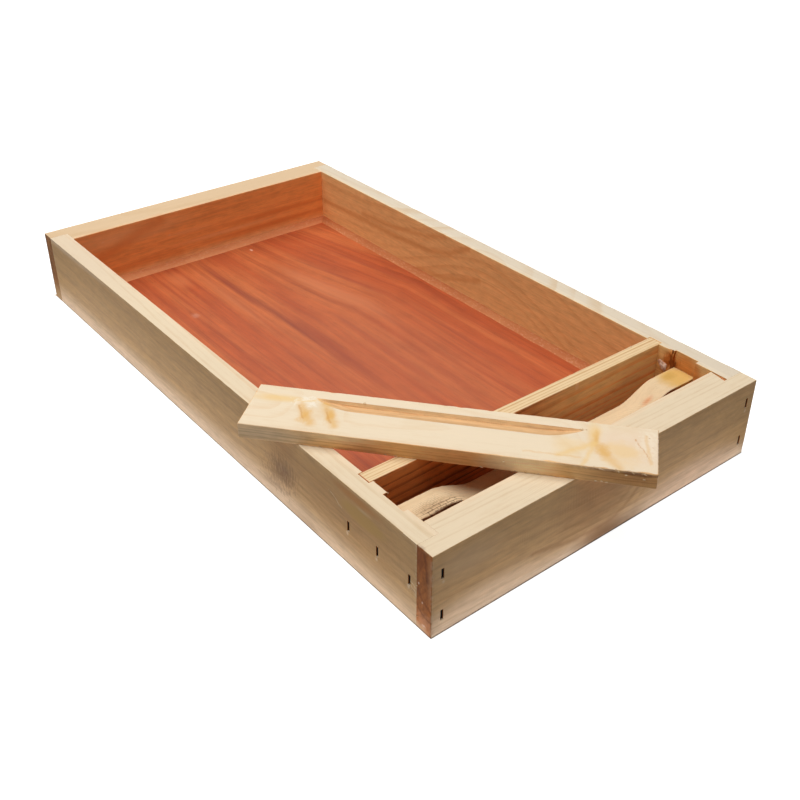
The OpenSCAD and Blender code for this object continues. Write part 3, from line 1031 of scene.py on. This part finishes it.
def make_cover():
    place, length, width = cover_place()
    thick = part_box("cover_board")[1].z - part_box("cover_board")[0].z
    high = Vector((length, width, thick)) / 2
    low = -high
    pull_l, pull_w, pull_d, inset, cutter, shift = (v * MM for v in (164, 10.3, 3.0, 8.7, 118, -2))
    wall = high.y - inset
    run = pull_l / 2 - math.sqrt(cutter ** 2 - (cutter - pull_d) ** 2)

    def depth(x, y):
        """How far the finger pull goes below the face."""
        share = (wall - y) / pull_w
        if not 0 <= share <= 1:
            return 0.0
        beyond = max(abs(x - shift) - run, 0)
        square = (cutter - pull_d * share) ** 2 - beyond ** 2
        lead = min(1.0, (wall - y) / (0.9 * MM))
        return lead * max(0.0, math.sqrt(max(square, 0)) - (cutter - pull_d))

    def nowhere(point):
        return False

    fine_y = [wall + v * MM for v in (0.5, 0.15, 0.0, -0.3, -0.6, -0.9)]
    fine_y += [wall - pull_w * i / 14 for i in range(1, 15)] + [wall - pull_w - 0.5 * MM]
    margin = 1.5 * MM
    cuts = []
    for a, (more, step) in enumerate((([], 1.6), (fine_y, 2.5), ([], 2.5))):
        cuts.append(split([low[a], low[a] + margin, high[a] - margin, high[a]] + more, step * MM))
    bm = sawn_block(cuts, [])
    break_arrises(bm, 0.4 * MM, JOINT_RADIUS, nowhere, nowhere)
    wear_arrises(bm, low, high, 0.2 * MM, 23.0, nowhere)
    for vert in bm.verts:
        x, y, z = vert.co
        if z > high.z - 0.2 * MM:
            vert.co.z -= depth(x, y)
        torn = max(0.0, min(1.0, (x - 20 * MM) / (40 * MM)))
        front_arris = max(0.0, 1 - (y - low.y) / (1.2 * MM)) * max(0.0, 1 - (high.z - z) / (1.6 * MM))
        if front_arris > 0:
            rag = max(0.0, noise.noise(Vector((x * 260, 1.5, z * 120))) + 0.1)
            vert.co += Vector((0, 0.8, -0.6)) * MM * rag * torn * front_arris
        end_face = max(0.0, 1 - (high.x - x) / (0.8 * MM))
        if end_face > 0:
            vert.co.x -= 0.5 * MM * end_face * max(0.0, noise.noise(Vector((3.0, y * 420, z * 420))) + 0.2)
    finish_piece("cover_board_wood", bm, cover_pine(), ["cover_board"], place, "cover",
                 (low, high))
    return place, low, high


def crumb(bm, middle, size, seed):
    """A small torn flake: a rough lump, flat underneath."""
    sides, levels = 7, 3
    rows = []
    for level in range(levels):
        slope = math.pi / 2 * level / levels
        ring = []
        for turn in range(sides):
            angle = 2 * math.pi * turn / sides
            spread = math.cos(slope) * (1 + 0.5 * noise.noise(Vector((turn, level * 0.7, seed))))
            point = Vector((math.cos(angle) * spread, math.sin(angle) * spread, math.sin(slope)))
            ring.append(bm.verts.new(middle + point * size))
        rows.append(ring)
    top = bm.verts.new(middle + Vector((0, 0, size.z)))
    for i in range(sides):
        j = (i + 1) % sides
        for first, second in zip(rows, rows[1:]):
            bm.faces.new((first[i], first[j], second[j], second[i]))
        bm.faces.new((rows[-1][i], rows[-1][j], top))
    bm.faces.new(rows[0][::-1])


def make_torn_fibres(place, low, high, material):
    """Strands and flakes on the cover's sawn edges, in its finger pull and round its knot."""
    bm = bmesh.new()
    tufts = [(-72, 2), (-33, 3), (-27, 3), (22, 2), (42, 3), (48, 2), (80, 3), (88, 3), (99, 4), (107, 3),
             (113, 4)]
    for index, (x, count) in enumerate(tufts):
        for strand in range(count):
            shift = noise.noise(Vector((index * 1.7, strand * 2.3, 0.5)))
            lift = noise.noise(Vector((index * 2.9, strand * 1.1, 4.5)))
            root = Vector((0, low.y, high.z)) + mm(x + shift * 2.5, 0.1, lift * 0.5 - 0.5)
            if x < 60:
                root.z = low.z + (0.4 + abs(lift) * 1.2) * MM
            reach = mm(1.6 + 2.5 * shift, -0.5 - 0.5 * abs(lift), 0.2 * lift)
            curl = mm(0.3 * lift, -0.5, 0.5 * shift)
            sliver(bm, root, reach, curl, (0.45 + 0.3 * abs(shift)) * MM)
    for strand in range(14):
        spot = noise.noise(Vector((strand * 3.1, 7.5, 0.2)))
        other = noise.noise(Vector((strand * 1.9, 2.5, 8.2)))
        root = Vector((high.x - 0.5 * MM, spot * 2 * high.y, high.z - (0.3 + abs(other) * 5) * MM))
        root.y = max(low.y + 0.5 * MM, min(high.y - 0.5 * MM, root.y))
        sliver(bm, root, mm(0.9, 0.5 * other, 0.6 * spot), mm(0, 0.5 * spot, 0.3), 0.4 * MM)
    flakes = [(-53, 13.9, 1.3), (77, 13.4, 1.3), (80, 13.4, 0.9), (116, 12, 0.8), (118, 3, 0.7),
              (86, -21, 0.8), (98, -21.3, 0.9)]
    for index, (x, y, size) in enumerate(flakes):
        middle = Vector((x * MM, y * MM, high.z - 0.25 * MM))
        crumb(bm, middle, mm(size, size * 0.7, size * 0.5), index * 1.3)
    chips = [(36, 1.0), (56, -4.2), (88, -4.4), (91, -4.0), (94, -4.5), (104, 2.0), (114, 0.5)]
    for index, (x, z) in enumerate(chips):
        size = 0.8 + 0.5 * noise.noise(Vector((index * 1.7, 3.3, 0)))
        crumb(bm, Vector((x * MM, low.y, z * MM)), mm(size, 0.35, size * 0.6), index * 2.1 + 0.6)
    finish_piece("cover_torn_fibres", bm, material, place=place, body="cover")


def make_tray_fibres(material):
    """Strands torn up where the tray's boards were sawn and housed."""
    bm = bmesh.new()
    left, front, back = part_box("left_side"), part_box("front_board"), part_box("back_board")
    wall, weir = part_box("partition"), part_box("bee_weir")
    rim, inner, outer = left[1].z, left[1].x, left[0].x
    strands = [
        ((outer, left[0].y - 0.6 * MM, 30 * MM), (-0.8, -0.6, 1.2)),
        ((outer, left[0].y - 0.6 * MM, 7.8 * MM), (-0.8, -0.4, 1.6)),
        ((outer + 0.3 * MM, back[1].y - 0.5 * MM, 1.2 * MM), (-3.2, 1.6, 0.9)),
        ((outer + 0.3 * MM, back[1].y - 1.2 * MM, 0.8 * MM), (-2.2, 0.4, 0.5)),
        ((inner - 0.2 * MM, weir[1].y + 0.3 * MM, rim - 0.5 * MM), (0.7, -0.9, -0.5)),
        ((inner - 0.2 * MM, wall[0].y - 0.4 * MM, rim - 0.4 * MM), (0.5, -0.8, -0.3)),
        ((70 * MM, front[1].y - 0.2 * MM, rim - 0.2 * MM), (1.4, 0.6, -0.3)),
    ]
    for index, (root, reach) in enumerate(strands):
        for turn in range(3):
            places = [Vector((index * 1.3, turn * 2.1, 0.7 + 3.7 * axis)) for axis in range(3)]
            shift = Vector([noise.noise(place) for place in places]) * 0.4 * MM
            whole = mm(*reach) * (0.45 + 0.2 * turn) + shift
            sliver(bm, Vector(root) + shift * 0.6, whole, shift, (0.5 + 0.12 * turn) * MM)
    for x, size in ((104, 0.9), (101.5, 0.6)):
        middle = Vector((x * MM, wall[1].y - 0.6 * MM, rim - 0.2 * MM))
        crumb(bm, middle, mm(size, size, size * 0.7), x)
    finish_piece("tray_torn_fibres", bm, material)


def make_joint_glue(material):
    """Glue that dried in the open joint at the front right, just below the rim."""
    bm = bmesh.new()
    side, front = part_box("right_side")[0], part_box("front_board")
    start, end = side.y + 0.05 * MM, front[1].y - 0.6 * MM
    steps, depth, dip = 12, 4 * MM, 0.25 * MM
    rings = []
    for index in range(steps + 1):
        y = start + (end - start) * index / steps
        top = front[1].z - (1.3 + 0.35 * noise.noise(Vector((index * 0.6, 2.0, 0)))) * MM
        near, far = side.x + 0.4 * MM, side.x - (3.0 - 2.2 * index / steps) * MM
        low, middle = top - depth, (near + far) / 2
        ring = [(far, low), (near, low), (near, top), (middle, top - dip), (far, top)]
        rings.append([bm.verts.new((x, y, z)) for x, z in ring])
    skin(bm, rings)
    finish_piece("shoulder_joint_glue", bm, material)


def make_slot_dab(material):
    """A pale dab of sealant thumbed on to the right wall of the feeding slot, behind the weir."""
    bm = bmesh.new()
    bmesh.ops.create_uvsphere(bm, u_segments=28, v_segments=18, radius=1.0)
    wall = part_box("right_side")[0].x
    middle = Vector((wall - 0.2 * MM, -186.6 * MM, 44.0 * MM))
    for vert in bm.verts:
        rough = 1 + 0.45 * noise.noise(vert.co * 1.7 + Vector((4, 0, 0))) + 0.15 * noise.noise(vert.co * 5)
        x, y, z = vert.co * rough
        drag = 1.0 if z > 0 else 1.35
        vert.co = middle + mm(x * 1.3, y * 3.0 * (1 + 0.35 * z) + z * 1.3, z * 2.9 * drag)
    finish_piece("slot_sealant_dab", bm, material)


# The boards' pine

RIM = (240, 221, 190)
# Stretches of a spot's torn edge
EVEN = (1, 1, 1)
LONG = (20, 60, 60)
LONGER = (10, 60, 60)


def painted_glow_foot(face_y, share=0.85, rise=30):
    """Paler colour along the foot of a board's outer face: painted light, standing in for the brighter glow
    that the floor throws on the lowest part of the face.
    """
    early, late = (218, 192, 166), (198, 166, 136)
    return early, late, (0, face_y, -30), (900, 3, rise), share, 0.95, 0.25, (4, 40, 40)


def painted_bounce_inside(face_y, early=(232, 162, 98), late=(206, 122, 62)):
    """A warmer, brighter face inside the tray, with its grooves and housings: painted light, standing in for
    the orange light that the red floor bounces on to the inner walls.
    """
    return early, late, (0, face_y, 0), (3000, 4.5, 3000), 1.0, 0.3, 0.0, EVEN


def on_face(face_y, *points):
    """Points of a board's face, each given along and up it."""
    return [(x, face_y, z) for x, z in points]


def staple_chips(face_y, places):
    """Pale bruised wood beside each driven staple."""
    spot = (1.5, 2, 2.0), 0.6, 0.8, 1.4, (500, 400, 500)
    return [((214, 190, 156), (x, face_y, z), *spot) for x, z in places]


def front_pine(shadows):
    face, tip = -12.5, -136
    ring, fleck, crack = (140, 94, 50), (240, 214, 190), (92, 46, 20)
    return pine(
        "front_pine", (0, 70, 40), 4.2, (196, 155, 106), (153, 110, 68), (148, 88, 42), 2.4,
        lean=(0, 0.02, 0.03), sway=22, line=0.36, top_bleach_and_light=0.9, pale=RIM, top_line=0.3, mottle=0.35,
        zones=[
            painted_glow_foot(face, rise=18),
            painted_bounce_inside(-face),
            # These two lift the lower face further: painted light, like the paler foot.
            ((222, 192, 162), (200, 164, 130), (-100, face, -18), (70, 3, 14), 0.6, 0.9, 0.3, (10, 40, 40)),
            ((212, 178, 148), (192, 152, 120), (80, face, -22), (66, 3, 19), 0.8, 0.8, 0.3, (10, 40, 40)),
            ((176, 133, 86), (137, 94, 55), (-10, face, 8), (52, 3, 36), 1.0, 0.9, 0.4, LONG),
            ((170, 126, 82), (134, 92, 54), (-6, face, -23), (26, 3, 9), 0.7, 0.9, 0.4, LONG),
        ],
        patches=[
            *staple_chips(face, [(-128, 8), (-128, -20), (129, 8), (129, -20)]),
            ((112, 54, 22), (tip, -3, 22), (3, 5.5, 15), 0.6, 0.8, 0.9, (60, 160, 60)),
            ((186, 136, 96), (tip, -11, 12), (3, 3.5, 24), 0.5, 0.9, 0.8, (60, 160, 60)),
            ((206, 146, 106), (tip, -7, -22), (3, 9, 9), 0.6, 0.8, 1.4, (100, 260, 200)),
            ((226, 196, 162), (tip, 0, -28), (3, 14, 5), 0.5, 0.8, 1.2, (200, 200, 200)),
            (fleck, (tip, -1.8, 3.5), (2, 0.8, 1.2), 0.7, 0.8, 1.6, (500, 500, 500)),
            (fleck, (tip, -5, -8), (2, 0.8, 1.1), 0.55, 0.8, 1.6, (500, 500, 500)),
            (fleck, (tip, -6.5, -24), (2, 2.0, 1.0), 0.6, 0.8, 1.6, (500, 500, 500)),
            ((206, 174, 136), (-112, face, 15), (36, 3, 17), 0.4, 0.9, 0.8, (30, 90, 90)),
            ((118, 78, 36), (4, face, -27), (44, 3, 13), 0.8, 0.95, 0.4, (40, 60, 60)),
            # A dark line along the very foot of the face: painted contact shadow.
            ((84, 62, 44), (20, face, -29), (110, 3, 1.8), 0.7, 0.6, 0.4, (60, 100, 100)),
            *shadows,
        ],
        lines=[
            (((tip, -6, 27), (tip, -8, 18), (tip, -9, 9)), 1.8, crack, 0.6),
            (((tip, -1, -1), (tip, -5, -6), (tip, -11, -10)), 1.8, crack, 0.5),
            (((tip, -1, -13), (tip, -6, -17), (tip, -12, -18)), 1.6, crack, 0.45),
            (on_face(face, (-62, -10), (-45, -13.5), (-30, -17), (-15, -18.7), (0, -19), (10, -17),
                     (18, -12.5), (24, -7), (30, -2)), 3.0, ring, 0.38),
            (on_face(face, (-36, -4), (-18, -9), (0, -10), (10, -8), (19, -2)), 3.0, ring, 0.22),
            (on_face(face, (26, -16), (34, -9), (44, -4)), 2.6, ring, 0.2),
        ],
    )


def back_pine(shadows):
    inner = -12.5
    return pine(
        "back_pine", (0, 30, -100), 9.5, (172, 130, 84), (134, 92, 54), (140, 94, 56), 6.1, mottle=0.15,
        lean=(0, 0.0, -0.05), sway=26, line=0.14, cloud=0.3, top_bleach_and_light=0.9, pale=(231, 201, 163), top_line=0.4,
        zones=[
            painted_glow_foot(-inner),
            painted_bounce_inside(inner, (246, 170, 100), (196, 96, 46)),
            ((255, 206, 146), (232, 158, 102), (0, inner, -18), (300, 4, 9), 0.95, 0.9, 0.3, (6, 60, 60)),
        ],
        patches=[
            *shadows,
            ((236, 190, 140), (-98, inner, 19), (2.5, 2, 1.2), 0.5, 0.9, 0.8, (300, 300, 300)),
            ((236, 190, 140), (-38, inner, 9), (2.0, 2, 1.2), 0.5, 0.9, 0.8, (300, 300, 300)),
            ((226, 136, 70), (66, inner, 3), (100, 3, 3.6), 0.7, 0.95, 0.3, LONGER),
            ((226, 136, 70), (60, inner, -7.5), (110, 3, 3.8), 0.7, 0.95, 0.3, LONGER),
            ((255, 194, 136), (20, inner, -2.5), (80, 3, 3.0), 0.5, 0.95, 0.3, LONGER),
            ((255, 190, 130), (-20, inner, 8), (30, 3, 3.5), 0.35, 0.95, 0.3, LONGER),
            ((255, 204, 144), (-80, inner, 20), (85, 3, 13), 0.5, 0.9, 0.4, LONGER),
            ((174, 140, 100), (-136, 6, -25), (4, 14, 15), 0.85, 0.9, 0.3, (60, 60, 60)),
        ],
        lines=[
            (on_face(inner, (-105, 4), (-85, 11), (-65, 19), (-45, 24)), 9.0, (228, 142, 76), 0.55),
            (on_face(inner, (-90, -9), (-60, -8), (-30, -9)), 7.0, (228, 142, 76), 0.4),
        ],
    )


def left_pine(shadows):
    face = 7.25
    return pine(
        "left_pine", (0, -60, 45), 5.5, (186, 147, 98), (147, 107, 65), (150, 90, 42), 9.3,
        lean=(0, 0.03, 0.02), sway=24, line=0.3, top_bleach_and_light=0.9, pale=RIM, top_line=0.3, mottle=0.25,
        knots=[((-118, face, -8), (0.5, 0.15, 1), 3, 9, 20)],
        zones=[
            painted_glow_foot(face, 0.72, 25),
            ((170, 128, 78), (138, 96, 54), (-165, face, 8), (95, 4, 30), 0.85, 0.9, 0.4, LONG),
            painted_bounce_inside(-face),
        ],
        patches=[
            ((174, 136, 74), (-190, face, 14), (27, 3, 7.5), 0.8, 0.5, 0.5, LONG),
            ((176, 118, 60), (-184, face, 24.5), (32, 3, 4.4), 0.75, 0.8, 0.4, LONG),
            ((134, 96, 56), (-106, face, -3), (22, 3, 13), 0.4, 0.95, 0.8, (70, 60, 70)),
            ((96, 56, 22), (-108, face, -1), (14, 3, 10), 0.4, 0.6, 4.0, (1000, 200, 150)),
            ((96, 56, 22), (-102, face, -9), (17, 3, 11), 0.3, 0.6, 4.6, (620, 200, 260)),
            ((132, 100, 66), (-90, face, -19), (16, 3, 4), 0.4, 0.9, 1.6, (60, 100, 300)),
            ((136, 102, 66), (-134, face, -26), (30, 3, 6), 0.35, 0.9, 1.0, (40, 100, 200)),
            ((226, 204, 178), (200, 0, 29), (130, 20, 6), 0.5, 0.9, 0.6, LONG),
            ((198, 176, 140), (-190, face, 20), (9, 3, 1.6), 0.35, 0.9, 0.8, (60, 200, 300)),
            *staple_chips(face, [(-174.6, -5.5), (-202, -5.5), (-230.6, -5)]),
            *shadows,
        ],
        lines=[
            (on_face(face, (-157, 15.5), (-165, 12.6), (-169, 9.6)), 0.7, (214, 190, 150), 0.7),
            (on_face(face, (-232.4, 0.6), (-236.6, -2.4)), 0.55, (226, 200, 166), 0.7),
            (on_face(face, (-232.6, -2.4), (-237.2, -5.6)), 0.55, (226, 200, 166), 0.7),
            (on_face(face, (-233.4, -5.4), (-237.2, -7.6)), 0.55, (226, 200, 166), 0.7),
            (on_face(face, (-157.4, 14.7), (-169.4, 9.0)), 0.5, (120, 92, 58), 0.4),
        ],
    )


def right_pine(shadows):
    inner = 7.25
    growth = (208, 142, 78)
    return pine(
        "right_pine", (0, 40, -120), 8.5, (172, 130, 84), (134, 92, 54), (150, 84, 34), 12.8, mottle=0.15,
        sway=14, line=0.26, cloud=0.26, top_bleach_and_light=0.9, pale=(233, 219, 196),
        knots=[((-10, inner, 0), (1, 0.1, 0.2), 3, -46, 95)],
        zones=[
            painted_glow_foot(-inner),
            painted_bounce_inside(inner, (244, 200, 134), (206, 138, 76)),
            ((220, 142, 72), (176, 92, 38), (-202, inner, 18), (20, 5, 20), 0.9, 0.4, 0.2, (60, 60, 60)),
        ],
        patches=[
            ((196, 110, 44), (-192, inner - 1, 20), (6, 4, 9), 0.8, 0.6, 2.4, (360, 300, 120)),
            ((96, 44, 16), (-192.6, inner - 1, 19), (2.4, 4, 9), 0.6, 0.5, 4.0, (420, 300, 160)),
            ((70, 32, 12), (-194.2, inner, 17), (0.9, 3, 10), 0.8, 0.6, 1.0, (300, 200, 100)),
            *shadows,
        ],
        lines=[
            (on_face(inner, (16, 27), (40, 14), (66, 7), (112, 4), (220, 1)), 4.4, growth, 0.5),
            (on_face(inner, (46, 27), (70, 19), (104, 13), (160, 9)), 4.0, growth, 0.45),
            (on_face(inner, (2, 4), (22, -3), (46, -11), (80, -15)), 4.4, growth, 0.45),
        ],
    )


def partition_pine():
    return pine(
        "partition_pine", (0, -90, 40), 2.1, (226, 142, 78), (134, 64, 26), (160, 100, 62), 15.2,
        lean=(0, 0.012, 0.0), sway=7, line=0.85, top_bleach_and_light=0.9, pale=(240, 215, 170), rim_line=(206, 148, 84),
        top_line=0.7, mottle=0.5, cloud=0.3,
        zones=[
            # The right part of the face lighter: painted light, where the slot lies open beside the cover's
            # shade.
            ((255, 214, 150), (250, 172, 104), (84, -5, 6), (112, 2.5, 60), 1.0, 0.7, 0.4, (8, 40, 40)),
        ],
        patches=[((255, 214, 160), (42, -5, 22.5), (2.0, 2, 4.4), 0.9, 0.5, 1.0, (300, 200, 160))],
    )


def weir_pine():
    top = 22.75
    mark = (92, 62, 40)
    return pine(
        "weir_pine", (0, 90, -40), 4.5, (224, 182, 130), (196, 146, 92), (160, 100, 62), 18.7,
        lean=(0, 0.03, 0.02), sway=14, line=0.3, top_bleach_and_light=0.75, pale=(238, 214, 176), top_line=0.3,
        level=(0.6, 0.9), marks=(2.4, 0.6, 0.5), relief=0.45,
        # The front face darker, down in the narrow gap behind the front board: painted shade.
        zones=[((132, 84, 48), (96, 54, 26), (0, -9, 0), (3000, 1.1, 3000), 1.0, 0.3, 0.0, EVEN)],
        patches=[
            ((224, 178, 96), (116, -1, top), (20, 18, 8), 0.9, 0.7, 0.6, (60, 120, 120)),
            ((200, 158, 80), (112, 3, top), (8, 5, 8), 0.6, 0.9, 1.0, (120, 160, 120)),
            ((220, 140, 92), (84, -3, 18), (7, 3, 8), 0.7, 0.9, 0.8, (90, 200, 120)),
            ((196, 160, 120), (-100, -5, top), (18, 8, 6), 0.6, 0.8, 0.8, (90, 120, 100)),
            # A dark ragged band along the left ear's front edge: painted shadow of the gap in front of it.
            ((84, 54, 32), (-94, -8.7, top), (16, 1.3, 6), 0.7, 0.6, 3.0, (420, 500, 60)),
        ],
        cracks=[
            (mark, 2.6, 1.2, 0.2, (-100, -2, top), (22, 8, 6), 0.4, 0.8, 1.6, (160, 160, 60)),
            (mark, 6.0, 2.1, 0.32, (-93, -6, top), (27, 4.8, 8), 0.95, 0.7, 1.2, (160, 160, 60)),
        ],
    )


def cover_pine():
    top, front = 5.0, -22
    honey, amber, pitch = (242, 204, 138), (230, 178, 96), (208, 146, 74)
    return pine(
        "cover_pine", (0, 0, -60), 2.6, (250, 198, 132), (200, 128, 70), (206, 156, 108), 21.5,
        lean=(0, 0.03, 0.015), sway=16, line=0.5, cloud=0.3, mottle=0.5, top_bleach_and_light=0.92, pale=(241, 224, 196),
        rim_line=(234, 200, 152), top_line=0.4, level=(0.97, 0.995),
        knots=[((-80, 0, top), (0.9, 1, 0.3), 4, 5, 14), ((100, 4, top), (0.7, 1, 0.3), 4, 8, 18)],
        zones=[
            # The finger pull: its own cut wood, with painted light lifting the shade in its hollow and on its
            # steep wall, and painted shade on its better lit front slope.
            ((226, 182, 132), (210, 154, 102), (-2, 8, 2.5), (170, 9, 5.5), 1.0, 0.25, 0.0, EVEN),
            ((210, 166, 118), (198, 144, 94), (-2, 4.6, 3.8), (160, 3.8, 4), 0.9, 0.8, 0.0, EVEN),
            ((255, 222, 172), (248, 192, 130), (-2, 13, 3.5), (88, 0.9, 2.6), 1.0, 0.3, 0.0, EVEN),
            ((184, 132, 82), (128, 80, 42), (106, front, 0), (44, 3, 12), 0.9, 0.9, 0.4, LONG),
            ((226, 196, 158), (166, 136, 104), (-112, front, 0), (60, 3, 12), 0.9, 0.9, 0.4, LONG),
            ((244, 182, 118), (192, 122, 68), (14, front, 0), (30, 3, 12), 0.9, 0.9, 0.4, LONG),
            ((255, 226, 180), (252, 206, 154), (44, front, 0), (29, 3, 12), 1.0, 0.8, 0.4, LONG),
            ((255, 222, 172), (240, 184, 128), (-58, front, 4), (30, 3, 7), 0.9, 0.9, 0.4, LONG),
        ],
        patches=[
            ((242, 217, 188), (106, 0, top), (36, 27, 4), 0.85, 0.8, 0.5, (40, 60, 60)),
            (honey, (-106, 9, top), (30, 6, 4), 0.75, 0.9, 0.9, (30, 160, 60)),
            (honey, (85, 10, top), (6, 15, 4), 0.75, 0.9, 1.0, (120, 60, 60)),
            (honey, (72, -5, top), (18, 12, 4), 0.35, 0.9, 1.4, (90, 90, 60)),
            (honey, (100, -6, top), (20, 16, 4), 0.55, 0.9, 1.6, (90, 120, 60)),
            (amber, (90, -6, top), (6, 9, 4), 0.75, 0.9, 1.6, (140, 140, 60)),
            (amber, (86, 6, top), (3, 12, 4), 0.75, 0.9, 1.2, (160, 60, 60)),
            (amber, (-85, -6, top), (5, 10, 4), 0.8, 0.9, 1.6, (200, 120, 60)),
            (amber, (-70, -5, top), (4, 11, 4), 0.75, 0.9, 1.6, (200, 120, 60)),
            ((252, 242, 224), (-88, 8, top), (9, 7, 4), 0.6, 0.7, 2.6, (420, 420, 60)),
            ((252, 238, 214), (116, 6, top), (7, 17, 4), 0.4, 0.7, 2.6, (420, 420, 60)),
            ((246, 228, 200), (80, -21.8, 5), (44, 1.0, 1.8), 0.25, 0.8, 2.0, (260, 420, 400)),
            # A dark line under the torn front arris at the right: painted shadow beneath the torn edge.
            ((112, 66, 34), (105, front, 3.5), (27, 2, 1.6), 0.65, 0.8, 1.8, (160, 400, 500)),
        ],
        lines=[
            ([(-90, 5, top), (-85, -5, top), (-79.5, -13, top)], 5.2, amber, 0.65),
            ([(-91, 3, top), (-85, -9, top)], 1.3, pitch, 0.5),
            ([(-76.5, 9, top), (-70, -3, top), (-65, -13, top)], 5.0, amber, 0.65),
            ([(-74.4, 3, top), (-68.4, -10, top)], 1.3, pitch, 0.5),
            ([(-90, 8, top), (-80, 12.6, top)], 1.2, honey, 0.6),
            ([(85, 1, top), (100, -20, top)], 5.0, amber, 0.45),
            ([(85, 1, top), (80, -21, top)], 2.4, honey, 0.6),
            ([(85, 1, top), (66, -14, top)], 4.0, honey, 0.6),
            ([(46, -14.5, top), (78, -14.5, top)], 1.4, amber, 0.35),
            ([(114, 14, top), (117, -13, top)], 1.8, amber, 0.4),
            ([(108, 9.4, top), (115.8, -7.7, top)], 0.7, pitch, 0.6),
        ],
    )


# Floor and light

def make_studio():
    """A pale floor that shows white, a large soft lamp overhead and a plain white surround."""
    half, steps, below = 8.0, 8, -0.05 * MM
    bm = bmesh.new()
    lines = [-half + 2 * half * i / steps for i in range(steps + 1)]
    grid = [[bm.verts.new((x, y, below)) for y in lines] for x in lines]
    for i in range(steps):
        for j in range(steps):
            bm.faces.new((grid[i][j], grid[i + 1][j], grid[i + 1][j + 1], grid[i][j + 1]))
    mesh = bpy.data.meshes.new("studio_floor")
    bm.to_mesh(mesh)
    bm.free()
    floor = bpy.data.objects.new("studio_floor", mesh)
    bpy.context.scene.collection.objects.link(floor)
    material, bench, finish = new_material("pale_floor")
    finish["Base Color"].default_value = (0.5, 0.5, 0.5, 1)
    finish["Roughness"].default_value = 0.9
    finish["Specular IOR Level"].default_value = 0.0
    finish["Emission Color"].default_value = (1, 1, 1, 1)
    bench.feed(finish["Emission Strength"], bench.math("MULTIPLY", bench.seen(), 0.93))
    mesh.materials.append(material)

    world = bpy.data.worlds.new("white_surround")
    bpy.context.scene.world = world
    world.use_nodes = True
    bench = Bench(world.node_tree)
    background = world.node_tree.nodes["Background"]
    background.inputs["Color"].default_value = (1, 1, 1, 1)
    bench.feed(background.inputs["Strength"], bench.ramp(bench.seen(), 0.0, 1.0, 0.14, 1.0))

    def lamp(name, place, aim, size, power):
        data = bpy.data.lights.new(name, "AREA")
        data.shape = "RECTANGLE"
        data.size, data.size_y = size
        data.energy = power
        holder = bpy.data.objects.new(name, data)
        holder.location = place
        holder.rotation_euler = (Vector(aim) - Vector(place)).to_track_quat("-Z", "Y").to_euler()
        holder.visible_camera = False
        bpy.context.scene.collection.objects.link(holder)

    lamp("soft_top_lamp", (-0.15, 0.2, 1.5), (0, 0, 0), (1.6, 1.6), 26.3)
    low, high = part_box("left_side")[0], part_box("right_side")[1]
    front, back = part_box("front_board")[0].y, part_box("back_board")[1].y
    strip, height, strength = 0.03, 1.1 * MM, 3.8
    for name, place, size in (
        ("low_strip_left", (low.x - strip / 2, 0), (strip, back - front)),
        ("low_strip_right", (high.x + strip / 2, 0), (strip, back - front)),
        ("low_strip_front", (0, front - strip / 2), (high.x - low.x, strip)),
        ("low_strip_back", (0, back + strip / 2), (high.x - low.x, strip)),
    ):
        place = Vector((*place, height))
        lamp(name, place, place + UP, size, strength * size[0] * size[1])


set_camera()
bpy.context.scene.view_settings.view_transform = "Standard"
make_studio()
make_staples(dull_steel())
sealant = drawn_sealant("brown_sealant", (198, 120, 72), (206, 132, 82))
make_beads(sealant, drawn_sealant("dusty_sealant", (218, 136, 86), (226, 148, 96)))
make_joint_glue(sealant)
make_tray()
make_slot_dab(pale_sealant())
fibre = torn_fibre()
make_tray_fibres(fibre)
make_torn_fibres(*make_cover(), fibre)

bpy.context.view_layer.update()
